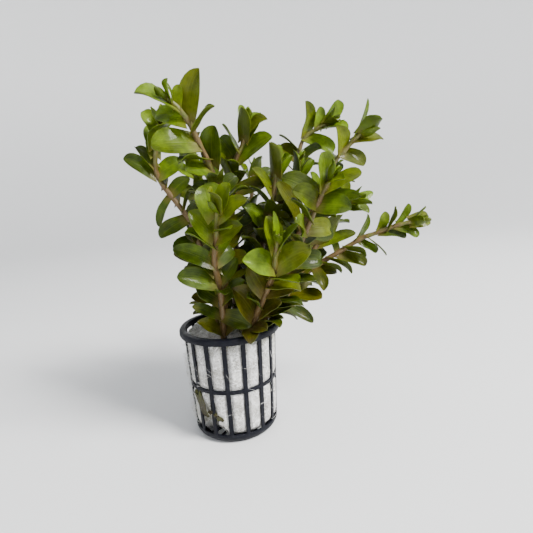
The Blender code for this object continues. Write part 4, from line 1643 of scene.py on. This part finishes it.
@dataclass
class Litter:
    """What is caught in the pot: a dead leaf, tufts of algae, and green bits on the crown.

    Places are a turn in degrees from the front, a distance from the pot's axis, and a height.
    """

    LEAF_FOOT = (-46.5, 0.0222, 0.0238)
    LEAF_TIP = (-31.0, 0.0226, 0.0140)
    LEAF_WIDTH = 0.0054
    LEAF_AGE = 0.85
    TUFTS = (((-17.5, 0.0215, 0.0138), 0.0012, 0.95), ((-13.5, 0.0216, 0.0131), 0.0008, 0.80),
             ((-22.5, 0.0214, 0.0150), 0.0009, 1.00), ((-29.5, 0.0219, 0.0163), 0.0010, 0.95),
             ((-51.5, 0.0220, 0.0246), 0.0012, 0.35))

    pot: NetPot
    blades: BladeForm
    crowd: Crowd
    material: bpy.types.Material
    bits: int = 16
    bit_spots: tuple[Pair, ...] = ((48.0, 122.0), (0.0165, 0.0206), (0.0508, 0.0518))
    bit_sizes: Pair = (0.0007, 0.0015)
    bit_ages: Pair = (0.3, 0.75)
    roughness: float = 0.22
    flatness: float = 0.45

    def dress(self) -> None:
        """Lay the dead leaf and the tufts in the windows, and the bits on the crown."""
        leaf = self.blades.blade("dead_leaf", self.laid(), 1.0, random.Random("dead"), self.crowd)
        write_tone(leaf, "leaf_tone", self.LEAF_AGE, 0.0, 0.0)
        complete(leaf, self.material, 60.0, Slot.LEAF)
        chance = random.Random("tufts")
        tufts = [self.tuft(self.place(*spot), radius, age, chance)
                 for spot, radius, age in self.TUFTS]
        bits = []
        for _ in range(self.bits):
            spot = self.place(*(chance.uniform(*span) for span in self.bit_spots))
            bits.append(self.tuft(spot, chance.uniform(*self.bit_sizes),
                                  chance.uniform(*self.bit_ages), chance))
        for clumps, name in ((tufts, "algae_tufts"), (bits, "crown_bits")):
            complete(join(clumps, name), self.material, 60.0, Slot.LEAF)

    @staticmethod
    def place(turn: float, radius: float, height: float) -> Vector:
        """A place about the pot's axis; the turn is in degrees from the front."""
        return Vector((radius * math.sin(math.radians(turn)),
                       -radius * math.cos(math.radians(turn)), height))

    def laid(self) -> LeafCage:
        """The dead leaf's cage, which lies flat against the wool.

        Returns:
            The cage.
        """
        rings = []
        root, tip = self.place(*self.LEAF_FOOT), self.place(*self.LEAF_TIP)
        for part, share in zip(STATIONS, SHARES):
            middle = self.place(*(low + (high - low) * part
                                  for low, high in zip(self.LEAF_FOOT, self.LEAF_TIP)))
            out = Vector((middle.x, middle.y, 0)).normalized()
            half = out.cross(tip - root).normalized() * share * self.LEAF_WIDTH / 2
            thick = out * LeafCage.THICKNESS / 2
            rings.append((middle + half, middle + thick, middle - half, middle - thick))
        return LeafCage(root, rings, tip)

    def tuft(self, middle: Vector, radius: float, age: float, chance: random.Random) -> Piece:
        """A small ragged clump.

        Args:
            middle: Where it sits.
            radius: Its size.
            age: Its tone as a leaf's age.
            chance: Its own raggedness.

        Returns:
            The clump.
        """
        deselect()
        bpy.ops.mesh.primitive_ico_sphere_add(subdivisions=3, radius=radius, location=(0, 0, 0))
        clump = bpy.context.object
        out = Vector((middle.x, middle.y, 0)).normalized()
        waves = [chance.uniform(2.0, 9.0) for _ in range(6)]
        for vertex in clump.data.vertices:
            x, y, z = vertex.co / radius
            rough = (math.sin(waves[0] * x + waves[1] * y) + math.sin(waves[2] * y - waves[3] * z)
                     + math.sin(waves[4] * z + waves[5] * x) + 1.2 * math.sin(
                         11 * x + 2) * math.sin(13 * y) * math.sin(12 * z + 1))
            point = vertex.co * (1 + self.roughness * rough)
            point -= out * point.dot(out) * self.flatness
            vertex.co = middle + point
        write_tone(clump, "leaf_tone", age, 0.0, 0.0)
        return clump


# Studio.


@dataclass
class Studio:
    """The floor, the soft lights and the camera at the photograph's angle."""

    target: Triple = (0.0205, 0.0, 0.0815)
    distance: float = 0.1965
    elevation: float = math.radians(11)
    roll: float = math.radians(-3.7)
    lens: float = 27.0
    sweep: tuple[Pair, ...] = (
        (0.9, 0.0), (1.05, 0.012), (1.2, 0.05), (1.33, 0.12), (1.44, 0.23), (1.51, 0.38),
        (1.54, 0.56), (1.55, 0.8), (1.55, 1.3))

    sky: Triple = (0.88, 0.92, 0.96)
    sky_strength: float = 0.35
    areas: tuple[tuple[str, Triple, float, float, Triple], ...] = (
        ("key", (0.85, -0.50, 1.05), 0.45, 55.0, (1.0, 0.985, 0.95)),
        ("fill", (-0.70, -0.90, 0.55), 0.8, 1.5, (0.92, 0.96, 1.0)))
    top_place: Triple = (0.0, 0.10, 1.25)
    top_power: float = 11.0
    top_softness: float = 0.30

    def build(self) -> None:
        """Set up the whole studio."""
        self.lay_floor()
        self.hang_lights()
        self.place_camera()

    def lay_floor(self) -> None:
        """A round floor that sweeps up into a wall, with no edge to see."""
        floor = turned("floor", 128, self.sweep)
        bpy.ops.object.shade_smooth()
        floor.data.materials.append(Floor().material())
        floor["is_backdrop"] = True

    def hang_lights(self) -> None:
        """A key light from the upper right, a fill from the left, a top light and a pale sky."""
        world = bpy.data.worlds.new("studio")
        bpy.context.scene.world = world
        world.use_nodes = True
        sky = world.node_tree.nodes["Background"]
        sky.inputs["Color"].default_value = (*self.sky, 1)
        sky.inputs["Strength"].default_value = self.sky_strength
        for name, place, size, power, colour in self.areas:
            lamp = bpy.data.lights.new(name, "AREA")
            lamp.shape = "SQUARE"
            lamp.size = size
            lamp.energy = power
            lamp.color = colour
            self.hang(lamp, place)
        lamp = bpy.data.lights.new("top", "POINT")
        lamp.energy = self.top_power
        lamp.shadow_soft_size = self.top_softness
        self.hang(lamp, self.top_place)

    def hang(self, lamp: bpy.types.Light, place: Triple) -> None:
        """Hang a lamp at a place, facing the plant."""
        aim = Vector(self.target) - Vector(place)
        show(lamp.name, lamp).matrix_world = Matrix.Translation(place) @ aim.to_track_quat(
            "-Z", "Y").to_matrix().to_4x4()

    def place_camera(self) -> None:
        """The camera: in front of the plant, looking a little down, with its slight roll."""
        camera = bpy.data.cameras.new("camera")
        camera.lens = self.lens
        camera.sensor_width = 36.0
        camera.clip_start = 0.005
        holder = show("camera", camera)
        target = Vector(self.target)
        back = Vector((0, -math.cos(self.elevation), math.sin(self.elevation)))
        look = (-back).to_track_quat("-Z", "Y").to_matrix().to_4x4()
        holder.matrix_world = (Matrix.Translation(target + back * self.distance) @ look
                               @ Matrix.Rotation(self.roll, 4, "Z"))
        bpy.context.scene.camera = holder


# The whole plant.


AGES = {
    "leaves_front_centre_1": Season.SPENT,
    "leaves_front_centre_2": Season.OLIVE,
    "leaves_front_centre_3": Season.OLIVE,
}


def plain(box: tuple[Vector, Vector]) -> list[list[float]]:
    """A box's two corners as plain lists."""
    return [list(map(float, corner)) for corner in box]


def main() -> None:
    """Load the frame, dress every part of it and set up the studio."""
    logging.basicConfig(level=logging.INFO, format="%(message)s")
    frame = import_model()
    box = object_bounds()
    nodes = frame["nodes"]
    blades, crowd = BladeForm(), Crowd(nodes, box)
    leaf, stem = LeafSkin().material(), StemSkin().material()
    for node in sorted(nodes):
        if node.startswith("stem_"):
            name = node.removeprefix("stem_")
            pairs = sorted(other for other in nodes
                           if other.rpartition("_")[0] == f"leaves_{name}")
            Shoot(name, pairs, blades, crowd, stem, leaf, nodes, AGES).dress()
    pot = NetPot()
    pot.dress(PotPlastic().material())
    RockWool(pot).dress(WoolFelt().material())
    Litter(pot, blades, crowd, Residue().material()).dress()
    bpy.data.objects.remove(blades.master)
    Studio().build()


if __name__ == "__main__":
    main()
